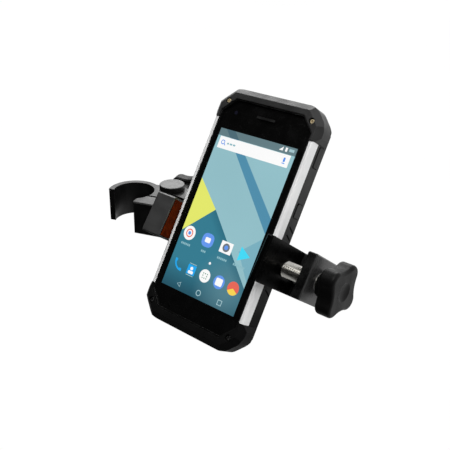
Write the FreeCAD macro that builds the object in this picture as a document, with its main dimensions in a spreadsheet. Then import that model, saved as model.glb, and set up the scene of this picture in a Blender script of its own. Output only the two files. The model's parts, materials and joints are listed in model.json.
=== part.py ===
import FreeCAD, Part

import math
import os
import re

import Sketcher
from FreeCAD import Placement, Rotation, Vector

# Handheld data collector in a screw-vise cradle on a tilting, swinging pole clamp.
#
# Row frame: origin at the centre of the pole bore, +Z up the pole, +X across the handset
# towards the cradle's clamping screw, +Y away from the user.
# Four local frames are used, each placed once:
#   handset frame  x across the screen, y up the screen, z out of the glass (glass top is z = 0)
#   cradle frame   x along the clamping screw (its axis is y = z = 0), z towards the user
#   clamp frame    x sideways off the pole, y along the pole clamp's screw, z up the pole
#   arm frame      the row frame itself

DIMENSIONS = {
    # placing of the local frames
    "handset_tilt": 32.5,
    "handset_lean": 4,
    "clamp_swing": 20,
    "handset_offset_x": 125,
    "tilt_axis_y": -4.4,
    "cradle_reach": 32,
    "screen_above_screw": 16.25,
    "glass_ahead_of_screw": 15,
    # handset
    "frame_half": 36.25,
    "frame_top": 76.3,
    "frame_bottom": 70.3,
    "frame_corner": 9.5,
    "frame_rim": 0.9,
    "rim_height": 0.3,
    "glass_thickness": 1.8,
    "split_depth": 6.4,
    "body_half": 39.3,
    "body_top": 81.5,
    "body_bottom": 76,
    "body_corner": 10.7,
    "body_depth": 18,
    "body_wall": 2.2,
    "floor_thickness": 2.6,
    "trim_half": 39.5,
    "trim_top": 62,
    "trim_bottom": 57,
    "trim_round": 2,
    "cap_half": 42,
    "cap_top": 84,
    "cap_bottom": 78.5,
    "cap_corner": 11,
    "cap_round": 12,
    "cap_taper": 3.5,
    "cap_front": 1,
    "cap_back": 19,
    "cap_bevel": 4,
    "cap_wall_end": -12.4,
    "back_bevel": 0.6,
    "seam": 0.1,
    "corner_screw_x": 33.2,
    "corner_screw_inset": 10.3,
    "corner_head": 1.5,
    "corner_shank": 1.1,
    "door_half": 31,
    "door_top": 44,
    "door_bottom": 56,
    "door_thickness": 1.4,
    "door_ledge": 2.6,
    "earpiece_y": 68,
    "earpiece_length": 15,
    "earpiece_width": 1.8,
    "front_camera_x": -25.5,
    "front_camera_y": 67.5,
    "front_camera_radius": 1.75,
    "rear_camera_y": 64,
    "rear_camera_radius": 4.5,
    "flash_x": 11,
    "flash_radius": 2,
    "key_depth": 12.2,
    "rocker_y": 54.75,
    "rocker_length": 13.2,
    "rocker_width": 4.8,
    "power_y": 19.5,
    "power_length": 9,
    "power_width": 5.2,
    "key_gap": 0.35,
    "key_proud": 0.4,
    "port_depth": 12.4,
    "port_length": 16,
    "port_height": 6.4,
    "port_thickness": 2,
    "port_pin": 0.5,
    # cradle
    "cradle_half_width": 14.6,
    "rail_front": -16,
    "rail_thickness": 8,
    "rail_left": -56.2,
    "slot_start": 38,
    "slot_end": 61.2,
    "tab_left": 62.3,
    "tab_thickness": 6.9,
    "tab_front": 15,
    "block_shift": 1.4,
    "block_half": 14.2,
    "block_front": 24,
    "block_face": -39.9,
    "block_screw_y": 10.7,
    "block_shank": 1.25,
    "pad_thickness": 1.35,
    "pad_margin": 1.2,
    "jaw_face": 41,
    "jaw_thickness": 3,
    "jaw_front": 28,
    "jaw_lip": 13.1,
    "slot_half": 6.1,
    "screw_radius": 5.3,
    "tip_radius": 3.5,
    "hub_start": 71.2,
    "knob_radius": 17.8,
    "lobe_radius": 6.3,
    "valley_radius": 19.5,
    "hub_radius": 8,
    "knob_start": 76,
    "knob_thickness": 10.8,
    "knob_round": 2.2,
    "lug_start": -52,
    "lug_width": 8,
    "lug_radius": 7.9,
    "fit": 0.05,
    # arm
    "arm_half": 8,
    "web_start": 17,
    "web_length": 9,
    "ear_radius": 7.6,
    "ear_thickness": 6,
    "washer_thickness": 0.9,
    "bolt_radius": 4,
    "fork_thickness": 4,
    # pole clamp
    "pole_radius": 16,
    "clamp_half_height": 13.4,
    "hook_thickness": 4.4,
    "clamp_split": -4.5,
    "clamp_right": 40,
    "clamp_back": 17,
    "pinch_gap": 2,
    "jaw_left": 9,
    "jaw_right": 36.4,
    "jaw_outer": -20,
    "pinch_screw_x": 30.4,
    "pinch_radius": 4,
    "pivot_back": 5.8,
    "shoulder_radius": 5,
    "cap_radius": 9.8,
    "cap_thickness": 4,
    "pinch_neck": 19,
    "guide_x": 22,
    "guide_z": 8.5,
    "guide_radius": 2,
}

doc = FreeCAD.newDocument("data_collector")
sheet = doc.addObject("Spreadsheet::Sheet", "Dim")
for row, (alias, number) in enumerate(DIMENSIONS.items(), start=1):
    sheet.set("A%d" % row, alias)
    sheet.set("B%d" % row, str(number))
    sheet.setAlias("B%d" % row, alias)
doc.recompute()

ALIAS = re.compile(r"\b(%s)\b" % "|".join(DIMENSIONS))
SUB_PARTS = []


def dim(alias):
    return float(sheet.get(alias))


# ---------------------------------------------------------------- building blocks

def expression(text):
    return ALIAS.sub(r"Dim.\1", str(text))


def bind(feature, **sizes):
    for name, text in sizes.items():
        feature.setExpression(name, expression(text))


def locate(feature, x, y, z):
    for axis, text in zip("xyz", (x, y, z)):
        feature.setExpression("Placement.Base." + axis, expression(text))


def box(name, x, y, z, length, width, height):
    """Box from its low corner and its sizes along x, y and z."""
    solid = doc.addObject("Part::Box", name)
    bind(solid, Length=length, Width=width, Height=height)
    locate(solid, x, y, z)
    return solid


AXIS_ROTATION = {
    "x": Rotation(Vector(0, 1, 0), 90),
    "y": Rotation(Vector(1, 0, 0), -90),
    "z": Rotation(),
}


def cylinder(name, axis, radius, start, length, across=("0", "0")):
    """Cylinder along x, y or z from its start, with its two other coordinates in `across`."""
    solid = doc.addObject("Part::Cylinder", name)
    bind(solid, Radius=radius, Height=length)
    solid.Placement = Placement(Vector(), AXIS_ROTATION[axis])
    position = list(across)
    position.insert("xyz".index(axis), start)
    locate(solid, *position)
    return solid


def fuse(name, solids):
    feature = doc.addObject("Part::MultiFuse", name)
    feature.Shapes = solids
    feature.Refine = True
    return feature


def cut(name, base, tools):
    feature = doc.addObject("Part::Cut", name)
    feature.Base = base
    feature.Tool = tools[0] if len(tools) == 1 else fuse(name + "_tools", tools)
    feature.Refine = True
    return feature


def round_edges(name, base, radius, chosen):
    """Fillet the edges of `base` that `chosen` picks."""
    doc.recompute()
    feature = doc.addObject("Part::Fillet", name)
    feature.Base = base
    size = dim(radius) if isinstance(radius, str) else radius
    edges = enumerate(base.Shape.Edges, start=1)
    feature.Edges = [(number, size, size) for number, edge in edges if chosen(edge)]
    return feature


def break_edges(name, base, size, chosen):
    """Chamfer the edges of `base` that `chosen` picks."""
    doc.recompute()
    feature = doc.addObject("Part::Chamfer", name)
    feature.Base = base
    edges = enumerate(base.Shape.Edges, start=1)
    feature.Edges = [(number, size, size) for number, edge in edges if chosen(edge)]
    return feature


def along(edge, direction):
    """True for a straight edge that runs along x, y or z."""
    if not isinstance(edge.Curve, Part.Line):
        return False
    return abs(abs(getattr(edge.Curve.Direction, direction)) - 1) < 1e-6


def middle(edge):
    return edge.BoundBox.Center


def origin_plane(body, role):
    return next(item for item in body.Origin.OriginFeatures if item.Role == role)


def polygon_sketch(body, name, points, level):
    """Closed polygon on the body's XY plane, raised to `level`; each point is two expressions."""
    sketch = body.newObject("Sketcher::SketchObject", name)
    sketch.AttachmentSupport = [(origin_plane(body, "XY_Plane"), "")]
    sketch.MapMode = "FlatFace"
    sketch.setExpression("AttachmentOffset.Base.z", expression(level))
    count = len(points)
    turns = [2 * math.pi * index / count for index in range(count)]
    guess = [Vector(20 * math.cos(turn), 20 * math.sin(turn), 0) for turn in turns]
    for index in range(count):
        sketch.addGeometry(Part.LineSegment(guess[index], guess[(index + 1) % count]))
    for index in range(count):
        sketch.addConstraint(Sketcher.Constraint("Coincident", index, 2, (index + 1) % count, 1))
    for index, (x_text, y_text) in enumerate(points):
        for kind, text, start in (
            ("DistanceX", x_text, guess[index].x),
            ("DistanceY", y_text, guess[index].y),
        ):
            number = sketch.addConstraint(Sketcher.Constraint(kind, -1, 1, index, 1, start))
            sketch.setExpression("Constraints[%d]" % number, expression(text))
    return sketch


def pad(body, sketch, length):
    feature = body.newObject("PartDesign::Pad", sketch.Name + "_pad")
    feature.Profile = sketch
    bind(feature, Length=length)
    sketch.Visibility = False
    return feature


def pocket(body, sketch, depth):
    """Cut from the sketch down along -z."""
    doc.recompute()
    before = body.Shape.Volume
    feature = body.newObject("PartDesign::Pocket", sketch.Name + "_pocket")
    feature.Profile = sketch
    bind(feature, Length=depth)
    doc.recompute()
    if body.Shape.Volume >= before - 1e-6:
        raise RuntimeError("%s cuts nothing" % feature.Name)
    return feature


def octagon(half, top, bottom, corner):
    """Outline of a handset layer: a rectangle with its four corners cut at 45 degrees."""
    return [
        (half, "-(%s) + %s" % (bottom, corner)),
        (half, "%s - (%s)" % (top, corner)),
        ("%s - (%s)" % (half, corner), top),
        ("-(%s) + %s" % (half, corner), top),
        ("-(%s)" % half, "%s - (%s)" % (top, corner)),
        ("-(%s)" % half, "-(%s) + %s" % (bottom, corner)),
        ("-(%s) + %s" % (half, corner), "-(%s)" % bottom),
        ("%s - (%s)" % (half, corner), "-(%s)" % bottom),
    ]


def rectangle(left, right, bottom, top):
    return [(left, bottom), (right, bottom), (right, top), (left, top)]


def new_body(name, outline, level, thickness):
    body = doc.addObject("PartDesign::Body", name)
    pad(body, polygon_sketch(body, name + "_outline", outline, level), thickness)
    return body


# ---------------------------------------------------------------- placing of the local frames

def cradle_angle():
    return 90 - dim("handset_tilt") - dim("handset_lean")


def clamp_frame():
    return Placement(Vector(), Rotation(Vector(0, 0, 1), dim("clamp_swing")))


def cradle_frame():
    turn = Rotation(Vector(1, 0, 0), cradle_angle())
    reach = turn.multVec(Vector(0, 0, dim("cradle_reach")))
    start = Vector(dim("handset_offset_x"), dim("tilt_axis_y"), 0)
    return Placement(start + reach, turn)


def handset_frame():
    turn = Rotation(Vector(1, 0, 0), 90 - dim("handset_tilt"))
    to_screen = turn.multVec(Vector(0, dim("screen_above_screw"), dim("glass_ahead_of_screw")))
    return Placement(cradle_frame().Base + to_screen, turn)


def finish(feature, label, frame):
    """Name a sub-part and put it in its place in the row frame."""
    if feature.TypeId in ("Part::Box", "Part::Cylinder"):
        plain = feature
        feature = doc.addObject("Part::Compound", label + "_piece")
        feature.Links = [plain]
    feature.Label = label
    feature.Placement = frame
    SUB_PARTS.append(feature)


def group(label, solids, frame):
    """Several identical loose pieces as one sub-part."""
    feature = doc.addObject("Part::Compound", label)
    feature.Links = solids
    finish(feature, label, frame)


# ---------------------------------------------------------------- handset

def front_frame(frame):
    outline = octagon("frame_half", "frame_top", "frame_bottom", "frame_corner")
    body = new_body("FrontFrame", outline, "-split_depth", "split_depth + rim_height")
    seat = octagon(
        "(frame_half - frame_rim + fit)",
        "(frame_top - frame_rim + fit)",
        "(frame_bottom - frame_rim + fit)",
        "(frame_corner - 0.5)",
    )
    sketch = polygon_sketch(body, "glass_seat", seat, "rim_height")
    pocket(body, sketch, "rim_height + glass_thickness + fit")
    window = rectangle("-33.4", "33.4", "-58.5", "58.5")
    pocket(body, polygon_sketch(body, "window", window, "0"), "split_depth + 1")
    receiver = rectangle("-9", "9", "earpiece_y - 3", "earpiece_y + 3")
    pocket(body, polygon_sketch(body, "receiver_bay", receiver, "0"), "split_depth + 1")
    camera = rectangle(
        "front_camera_x - 3", "front_camera_x + 3", "front_camera_y - 3", "front_camera_y + 3"
    )
    pocket(body, polygon_sketch(body, "camera_bay", camera, "0"), "split_depth + 1")
    finish(body, "front_frame", frame)


def cover_glass(frame):
    outline = octagon(
        "(frame_half - frame_rim)",
        "(frame_top - frame_rim)",
        "(frame_bottom - frame_rim)",
        "(frame_corner - 0.5)",
    )
    body = new_body("GlassBlank", outline, "-glass_thickness", "glass_thickness")
    slot = box(
        "EarpieceSlot",
        "-earpiece_length / 2", "earpiece_y - earpiece_width / 2", "-3",
        "earpiece_length", "earpiece_width", "4",
    )
    round_slot = round_edges("EarpieceSlotRound", slot, 0.85, lambda edge: along(edge, "z"))
    microphone = cylinder("MicrophoneHole", "z", "0.5", "-3", "4", ("-19.5", "-66.5"))
    glass = cut("CoverGlass", body, [round_slot, microphone])
    finish(glass, "cover_glass", frame)


def display_module(frame):
    panel = box("DisplayModule", "-33", "-57.8", "-5.3", "66", "115.6", "3.4")
    finish(panel, "display_module", frame)


def earpiece_mesh(frame):
    insert = box(
        "EarpieceBlank",
        "-earpiece_length / 2 + fit", "earpiece_y - earpiece_width / 2 + fit", "-glass_thickness",
        "earpiece_length - 2 * fit", "earpiece_width - 2 * fit", "glass_thickness - 0.3",
    )
    mesh = round_edges("EarpieceMesh", insert, 0.8, lambda edge: along(edge, "z"))
    finish(mesh, "earpiece_mesh", frame)


def receiver(frame):
    capsule = box("Receiver", "-8", "earpiece_y - 2.5", "-5", "16", "5", "3")
    finish(capsule, "earpiece_receiver", frame)


def front_camera(frame):
    module = cylinder(
        "FrontCamera", "z", "front_camera_radius + 0.8", "-6", "3.8 + fit",
        ("front_camera_x", "front_camera_y"),
    )
    finish(module, "front_camera", frame)


def rear_housing(frame):
    outline = octagon("body_half", "body_top", "body_bottom", "body_corner")
    depth = "body_depth - split_depth - seam"
    blank = new_body("HousingBlank", outline, "-body_depth", depth)
    back = -dim("body_depth")
    body = break_edges("HousingBevel", blank, dim("back_bevel"),
                       lambda edge: abs(middle(edge).z - back) < 1e-6)
    openings = [housing_cavity(), door_recess(), battery_opening()]
    tools = openings + housing_openings() + side_grooves()
    shell = cut("RearHousing", body, tools)
    finish(shell, "rear_housing", frame)


def housing_cavity():
    cavity = octagon(
        "(body_half - body_wall)", "(body_top - body_wall)", "(body_bottom - body_wall)", "13"
    )
    return new_body("Cavity", cavity, "-body_depth + floor_thickness", "body_depth")


def door_recess():
    recess = rectangle(
        "-door_half - fit", "door_half + fit", "-door_bottom - fit", "door_top + fit"
    )
    return new_body("DoorRecess", recess, "-body_depth - 1", "door_thickness + fit + 1")


def battery_opening():
    opening = rectangle(
        "-door_half + door_ledge", "door_half - door_ledge",
        "-door_bottom + door_ledge", "door_top - door_ledge",
    )
    return new_body("BatteryOpening", opening, "-body_depth - 1", "floor_thickness + 2")


def housing_openings():
    """Openings for the keys, the connector, the rear camera, the flash, the speaker and screws."""
    tools = [
        box(
            "RockerOpening", "36", "rocker_y - rocker_length / 2 - key_gap",
            "-key_depth - rocker_width / 2 - key_gap",
            "5", "rocker_length + 2 * key_gap", "rocker_width + 2 * key_gap",
        ),
        box(
            "PowerOpening", "36", "power_y - power_length / 2 - key_gap",
            "-key_depth - power_width / 2 - key_gap",
            "5", "power_length + 2 * key_gap", "power_width + 2 * key_gap",
        ),
        box("ConnectorOpening", "-5", "-77", "-port_depth - 1.8", "10", "4", "3.6"),
        cylinder("CameraWindowSeat", "z", "rear_camera_radius + fit", "-18.5", "1.8",
                 ("0", "rear_camera_y")),
        cylinder("CameraBore", "z", "rear_camera_radius - 0.6", "-18.5", "4",
                 ("0", "rear_camera_y")),
        cylinder("FlashBore", "z", "flash_radius + fit", "-18.5", "4",
                 ("flash_x", "rear_camera_y")),
    ]
    for index in range(5):
        name = "SpeakerSlot%d" % index
        tools.append(box(name, str(-8.8 + 4 * index), "-66.5", "-18.5", "1.6", "7", "4"))
    for index, (x_sign, y_text) in enumerate(corner_positions()):
        tools.append(
            cylinder("CornerScrewHole%d" % index, "z", "corner_shank + fit", "-15.5", "9",
                     ("%d * corner_screw_x" % x_sign, y_text))
        )
    for index, (x_text, y_text) in enumerate(door_screw_positions()):
        tools.append(
            cylinder("DoorScrewHole%d" % index, "z", "0.8 + fit", "-17", "3", (x_text, y_text))
        )
    return tools


GROOVE_LENGTH = 7.6
GROOVE_WIDTH = 0.9
GROOVE_DEPTH = 1.2
GROOVE_PITCH = 5.2


def side_grooves():
    """Short slanted grip grooves down both side walls."""
    tools = []
    for side in (-1, 1):
        for index in range(9):
            groove = doc.addObject("Part::Box", "Groove%d_%d" % (side > 0, index))
            groove.Length = 2 * GROOVE_DEPTH
            groove.Width = GROOVE_LENGTH
            groove.Height = GROOVE_WIDTH
            height = 7.2 - GROOVE_PITCH * index
            centre = Vector(side * dim("body_half"), height, -13.2)
            turn = Rotation(Vector(1, 0, 0), 64)
            corner = Vector(GROOVE_DEPTH, GROOVE_LENGTH / 2, GROOVE_WIDTH / 2)
            groove.Placement = Placement(centre - turn.multVec(corner), turn)
            tools.append(groove)
    return tools


def gasket(frame):
    outline = octagon("(frame_half - 0.3)", "(frame_top - 0.3)", "(frame_bottom - 0.3)", "9")
    body = new_body("Gasket", outline, "-split_depth - 0.9", "0.8")
    inside = octagon("(frame_half - 1.6)", "(frame_top - 1.6)", "(frame_bottom - 1.6)", "9")
    pocket(body, polygon_sketch(body, "gasket_inside", inside, "-split_depth"), "2")
    finish(body, "housing_gasket", frame)


def side_trim(label, side, frame):
    """Aluminium rail that closes one long edge, rounded along its outer front corner."""
    left = "frame_half + seam" if side > 0 else "-trim_half"
    bar = box(
        label + "_bar", left, "-trim_bottom + fit", "-split_depth",
        "trim_half - frame_half - seam", "trim_top + trim_bottom - 2 * fit", "split_depth + 0.2",
    )

    def outer_front(edge):
        where = middle(edge)
        return along(edge, "y") and abs(where.x) > 39 and where.z > 0

    finish(round_edges(label + "_rounded", bar, "trim_round", outer_front), label, frame)


def corner_positions():
    """Side and height of the four corner screws."""
    top = "cap_top - corner_screw_inset"
    bottom = "-cap_bottom + corner_screw_inset"
    return [(side, height) for height in (top, bottom) for side in (-1, 1)]


def end_cap(label, top, frame):
    """Bumper around one end of the handset, rounded in plan and bevelled front and back."""
    sign = "" if top else "-"
    end = "cap_top" if top else "cap_bottom"
    start = "trim_top + fit" if top else "trim_bottom + fit"
    left = [
        ("-trim_half", "%s(%s)" % (sign, start)),
        ("-cap_half", "%s(%s + cap_taper)" % (sign, start)),
        ("-cap_half", "%s(%s - cap_corner)" % (sign, end)),
        ("-cap_half + cap_corner", "%s(%s)" % (sign, end)),
    ]
    right = [("-(%s)" % x_text, y_text) for x_text, y_text in reversed(left)]
    body = new_body(label + "_body", left + right, "-cap_back", "cap_back + cap_front")
    corner_start = dim(end) - dim("cap_corner") - 1e-3

    def plan_corner(edge):
        return along(edge, "z") and abs(middle(edge).y) > corner_start

    rounded = round_edges(label + "_rounded", body, "cap_round", plan_corner)
    tools = cap_openings(label, top) + cap_bevels(label, top)
    finish(cut(label + "_shell", rounded, tools), label, frame)


def cap_bevels(label, top):
    """Flat 45 degree bevels along the rims of a bumper."""
    end = dim("cap_top") if top else dim("cap_bottom")
    half = dim("cap_half")
    corner = (half + end - dim("cap_corner")) / math.sqrt(2)
    side = 1 if top else -1
    walls = [(0, half), (180, half), (45 * side, corner), (135 * side, corner)]
    front_level = dim("cap_front") - dim("cap_bevel")
    tools = []
    for index, (azimuth, reach) in enumerate(walls):
        name = "%s_back_bevel%d" % (label, index)
        tools.append(bevel_block(name, azimuth, reach, dim("cap_wall_end"), 45))
    for index, (azimuth, reach) in enumerate(walls + [(90 * side, end)]):
        name = "%s_front_bevel%d" % (label, index)
        tools.append(bevel_block(name, azimuth, reach, front_level, -45))
    return tools


def bevel_block(name, azimuth, reach, level, slope):
    """Block that removes everything beyond a sloping plane through a wall at `level`."""
    size = 160
    block = doc.addObject("Part::Box", name)
    block.Length = size
    block.Width = size
    block.Height = size
    turn = Rotation(Vector(0, 0, 1), azimuth).multiply(Rotation(Vector(0, 1, 0), slope))
    outward = Rotation(Vector(0, 0, 1), azimuth).multVec(Vector(reach, 0, level))
    block.Placement = Placement(outward + turn.multVec(Vector(0, -size / 2, -size / 2)), turn)
    return block


def cap_openings(label, top):
    """What a bumper leaves free: the front frame, the rear housing, the screws and the port."""
    clear_frame = octagon(
        "(frame_half + seam)", "(frame_top + seam)", "(frame_bottom + seam)", "frame_corner"
    )
    clear_body = octagon(
        "(body_half + seam)", "(body_top + seam)", "(body_bottom + seam)", "body_corner"
    )
    tools = [
        new_body(label + "_front_opening", clear_frame, "-split_depth - seam / 2", "12"),
        new_body(label + "_back_opening", clear_body, "-cap_back - 1",
                 "cap_back + 1 - split_depth"),
    ]
    for index, (side, height) in enumerate(corner_positions()):
        where = ("%d * corner_screw_x" % side, height)
        head_name = "%s_head_seat%d" % (label, index)
        tools.append(cylinder(head_name, "z", "corner_head + 0.6", "-1.4", "4", where))
        shank_name = "%s_shank_hole%d" % (label, index)
        tools.append(cylinder(shank_name, "z", "corner_shank + fit", "-12", "12", where))
    if not top:
        tools.append(
            box(
                "PortRecess", "-port_length / 2 - 1.6", "-cap_bottom - 1",
                "-port_depth - port_height / 2 - seam",
                "port_length + 2.8", "port_thickness + 1.2", "port_height + 2 * seam",
            )
        )
        tools.append(box("PlugOpening", "-5.5", "-80", "-port_depth - 2.2", "11", "8", "4.4"))
        tools.append(
            cylinder("PortPinHole", "z", "port_pin + 0.02", "-port_depth - 4.6", "9.2",
                     ("-port_length / 2 - 0.2", "-cap_bottom + 1.1"))
        )
    return tools


def corner_screws(frame):
    screws = []
    for index, (side, height) in enumerate(corner_positions()):
        where = ("%d * corner_screw_x" % side, height)
        head = cylinder("CornerHead%d" % index, "z", "corner_head", "-1.35", "1.55", where)
        shank = cylinder("CornerShank%d" % index, "z", "corner_shank", "-14.5", "13.2", where)
        socket = hexagon("CornerSocket%d" % index, 0.75, where, "-0.8", "2")
        screws.append(cut("CornerScrew%d" % index, fuse("CornerBolt%d" % index, [head, shank]),
                          [socket]))
    group("corner_screws", screws, frame)


def hexagon(name, radius, where, start, length, axis="z"):
    """Six-sided drive socket."""
    prism = doc.addObject("Part::Prism", name)
    prism.Polygon = 6
    prism.Circumradius = radius
    bind(prism, Height=length)
    prism.Placement = Placement(Vector(), AXIS_ROTATION[axis])
    position = list(where)
    position.insert("xyz".index(axis), start)
    locate(prism, *position)
    return prism


def door_screw_positions():
    inset = "door_ledge / 2"
    right = "door_half - " + inset
    left = "-door_half + " + inset
    high = "door_top - 8"
    low = "-door_bottom + 8"
    return [(left, low), (right, low), (right, high), (left, high)]


def battery_door(frame):
    outline = rectangle("-door_half", "door_half", "-door_bottom", "door_top")
    plate = new_body("DoorPlate", outline, "-body_depth", "door_thickness")
    tools = []
    for index, where in enumerate(door_screw_positions()):
        seat = "DoorHeadSeat%d" % index
        tools.append(cylinder(seat, "z", "1.15", "-body_depth - 0.1", "0.9", where))
        tools.append(cylinder("DoorHole%d" % index, "z", "0.8 + fit", "-18.5", "3", where))
    for index in range(6):
        height = str(-26 + 9 * index)
        tools.append(box("DoorRib%d" % index, "-20", height, "-18.2", "40", "2", "0.7"))
    finish(cut("BatteryDoor", plate, tools), "battery_door", frame)


def door_screws(frame):
    screws = []
    for index, where in enumerate(door_screw_positions()):
        head = cylinder("DoorHead%d" % index, "z", "1.1", "-body_depth", "0.75", where)
        shank = cylinder("DoorShank%d" % index, "z", "0.8", "-body_depth", "2.4", where)
        screws.append(fuse("DoorScrew%d" % index, [head, shank]))
    group("battery_door_screws", screws, frame)


def battery(frame):
    pack = box("Battery", "-27.5", "-52", "-16.4", "55", "92", "5.6")
    soft = round_edges("BatteryRounded", pack, 1.0, lambda edge: along(edge, "y"))
    finish(soft, "battery", frame)


def main_board(frame):
    board = box("Board", "-34", "-69.5", "-10.6", "68", "143", "1.2")
    shield = box("Shield", "-24", "8", "-9.6", "40", "30", "1.5")
    memory = box("Memory", "-20", "-30", "-9.6", "26", "18", "1.2")
    screw_corners = [
        box("BoardCorner%d" % index, x_text, y_text, "-12", "12", "14", "4")
        for index, (x_text, y_text) in enumerate(
            (("-40", "62"), ("28", "62"), ("-40", "-76"), ("28", "-76"))
        )
    ]
    solid = cut("MainBoard", fuse("BoardStack", [board, shield, memory]), screw_corners)
    finish(solid, "main_board", frame)


def loudspeaker(frame):
    finish(box("Loudspeaker", "-11", "-68.5", "-15.3", "22", "11", "4"), "loudspeaker", frame)


def connector(frame):
    shell = box("ConnectorShell", "-4.5", "-75.9", "-port_depth - 1.6", "9", "7", "3.2")
    mouth = box("ConnectorMouth", "-3.9", "-77", "-port_depth - 1.1", "7.8", "6", "2.2")
    tongue = box("ConnectorTongue", "-3.1", "-75", "-port_depth - 0.35", "6.2", "5.5", "0.7")
    solid = fuse("Connector", [cut("ConnectorTube", shell, [mouth]), tongue])
    finish(solid, "charging_connector", frame)


def port_cover(frame):
    """Hinged rubber flap over the charging connector; its knuckle turns on a steel pin."""
    left = "-port_length / 2 - 0.2"
    level = "-port_depth - port_height / 2"
    leaf = box("PortLeaf", left, "-cap_bottom + 0.1", level,
               "port_length + 0.2 + 1.1", "port_thickness", "port_height")
    across = (left, "-cap_bottom + 1.1")
    knuckle = cylinder("PortKnuckle", "z", "1", level, "port_height", across)
    plug = box("PortPlug", "-3.6", "-cap_bottom + 2", "-port_depth - 1", "7.2", "0.5", "2")
    bore = cylinder("PortBore", "z", "port_pin + 0.05", "-port_depth - 5", "10", across)
    flap = cut("PortFlap", fuse("PortStack", [leaf, knuckle, plug]), [bore])
    finish(flap, "port_cover", frame)
    pin = cylinder("PortPin", "z", "port_pin", "-port_depth - 4.5", "9", across)
    finish(pin, "port_cover_pin", frame)


def side_keys(frame):
    """Volume rocker, power key and the switch strip behind them."""
    reach = "body_half + key_proud - 37.4"
    rocker = box(
        "Rocker", "37.4", "rocker_y - rocker_length / 2", "-key_depth - rocker_width / 2",
        reach, "rocker_length", "rocker_width",
    )
    finish(round_edges("RockerRounded", rocker, 1.2, lambda edge: along(edge, "x")),
           "volume_rocker", frame)
    power = box(
        "Power", "37.4", "power_y - power_length / 2", "-key_depth - power_width / 2",
        reach, "power_length", "power_width",
    )

    def upper(edge):
        return along(edge, "x") and middle(edge).y > dim("power_y")

    finish(round_edges("PowerRounded", power, 2.0, upper), "power_button", frame)
    strip = box("SwitchStrip", "35.9", "12", "-14.4", "1", "50", "4.4")
    finish(strip, "key_switch_strip", frame)


def rear_optics(frame):
    window = cylinder("CameraWindow", "z", "rear_camera_radius", "-body_depth", "1.2",
                      ("0", "rear_camera_y"))
    finish(window, "rear_camera_window", frame)
    module = cylinder("CameraModule", "z", "rear_camera_radius - 0.8", "-16.7", "5.8",
                      ("0", "rear_camera_y"))
    finish(module, "rear_camera", frame)
    flash = cylinder("FlashLens", "z", "flash_radius", "-body_depth", "2.6",
                     ("flash_x", "rear_camera_y"))
    finish(flash, "flash_lens", frame)


def handset():
    frame = handset_frame()
    front_frame(frame)
    cover_glass(frame)
    display_module(frame)
    earpiece_mesh(frame)
    receiver(frame)
    front_camera(frame)
    gasket(frame)
    rear_housing(frame)
    side_trim("left_trim", -1, frame)
    side_trim("right_trim", 1, frame)
    end_cap("top_bumper", True, frame)
    end_cap("bottom_bumper", False, frame)
    corner_screws(frame)
    battery(frame)
    battery_door(frame)
    door_screws(frame)
    main_board(frame)
    loudspeaker(frame)
    connector(frame)
    port_cover(frame)
    side_keys(frame)
    rear_optics(frame)


# ---------------------------------------------------------------- cradle

def cradle_rail(frame):
    """Bar behind the handset with the jaw's slot and the lug of the tilt joint."""
    bar = box("Bar", "rail_left", "-cradle_half_width", "rail_front - rail_thickness",
              "tab_left - rail_left", "2 * cradle_half_width", "rail_thickness")
    lug_end = cylinder("LugEnd", "x", "lug_radius", "lug_start", "lug_width",
                       ("0", "-cradle_reach"))
    lug_neck = box("LugNeck", "lug_start", "-lug_radius", "-cradle_reach",
                   "lug_width", "2 * lug_radius", "cradle_reach + rail_front - 2")
    tools = [
        box("JawSlot", "slot_start", "-slot_half", "-30", "slot_end - slot_start",
            "2 * slot_half", "20"),
        cylinder("TiltHole", "x", "bolt_radius + fit", "lug_start - 1", "lug_width + 2",
                 ("0", "-cradle_reach")),
    ]
    for index, where in enumerate(block_screw_positions()):
        tools.append(cylinder("BlockHole%d" % index, "z", "block_shank + seam",
                              "rail_front - rail_thickness - 1", "rail_thickness + 2", where))
    for side in (-1, 1):
        where = ("%d * 10" % side, "rail_front - 4")
        tools.append(cylinder("TabScrewHole%d" % (side > 0), "x", "1.55",
                              "tab_left - 12", "13", where))
    bar_edges = break_edges("BarEdges", bar, 0.6, lambda edge: along(edge, "x"))
    solid = cut("Rail", fuse("RailStack", [bar_edges, lug_end, lug_neck]), tools)
    finish(solid, "cradle_rail", frame)


def fixed_jaw(frame):
    block = box("Block", "rail_left", "block_shift - block_half", "rail_front",
                "block_face - rail_left", "2 * block_half", "block_front - rail_front")

    def outer(edge):
        return middle(edge).x < dim("block_face") - 1 and middle(edge).z > dim("rail_front") + 1

    block = break_edges("BlockEdges", block, 0.9, outer)
    recess = box(
        "PadRecess", "block_face - 1.1", "block_shift - block_half + pad_margin",
        "rail_front + 3", "3", "2 * block_half - 2 * pad_margin",
        "block_front - rail_front - 3.8",
    )
    tools = [recess]
    for index, where in enumerate(block_screw_positions()):
        tools.append(cylinder("BlockTap%d" % index, "z", "block_shank + fit",
                              "rail_front - 1", "11", where))
    finish(cut("FixedJaw", block, tools), "fixed_jaw", frame)
    pad_block = box(
        "FixedPad", "block_face - 1.1 + fit", "block_shift - block_half + pad_margin + seam",
        "rail_front + 3 + seam", "pad_thickness + 0.05 - fit",
        "2 * block_half - 2 * pad_margin - 2 * seam",
        "block_front - rail_front - 5",
    )
    soft = round_edges("FixedPadSoft", pad_block, 0.4,
                       lambda edge: middle(edge).x > dim("block_face"))
    finish(soft, "fixed_jaw_pad", frame)


def block_screw_positions():
    """Four screws behind the fixed jaw, clear of the lug between them."""
    columns = ("lug_start + 1.5", "lug_start + lug_width - 1.5")
    return [(x_text, "%d * block_screw_y" % side) for x_text in columns for side in (-1, 1)]


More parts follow.
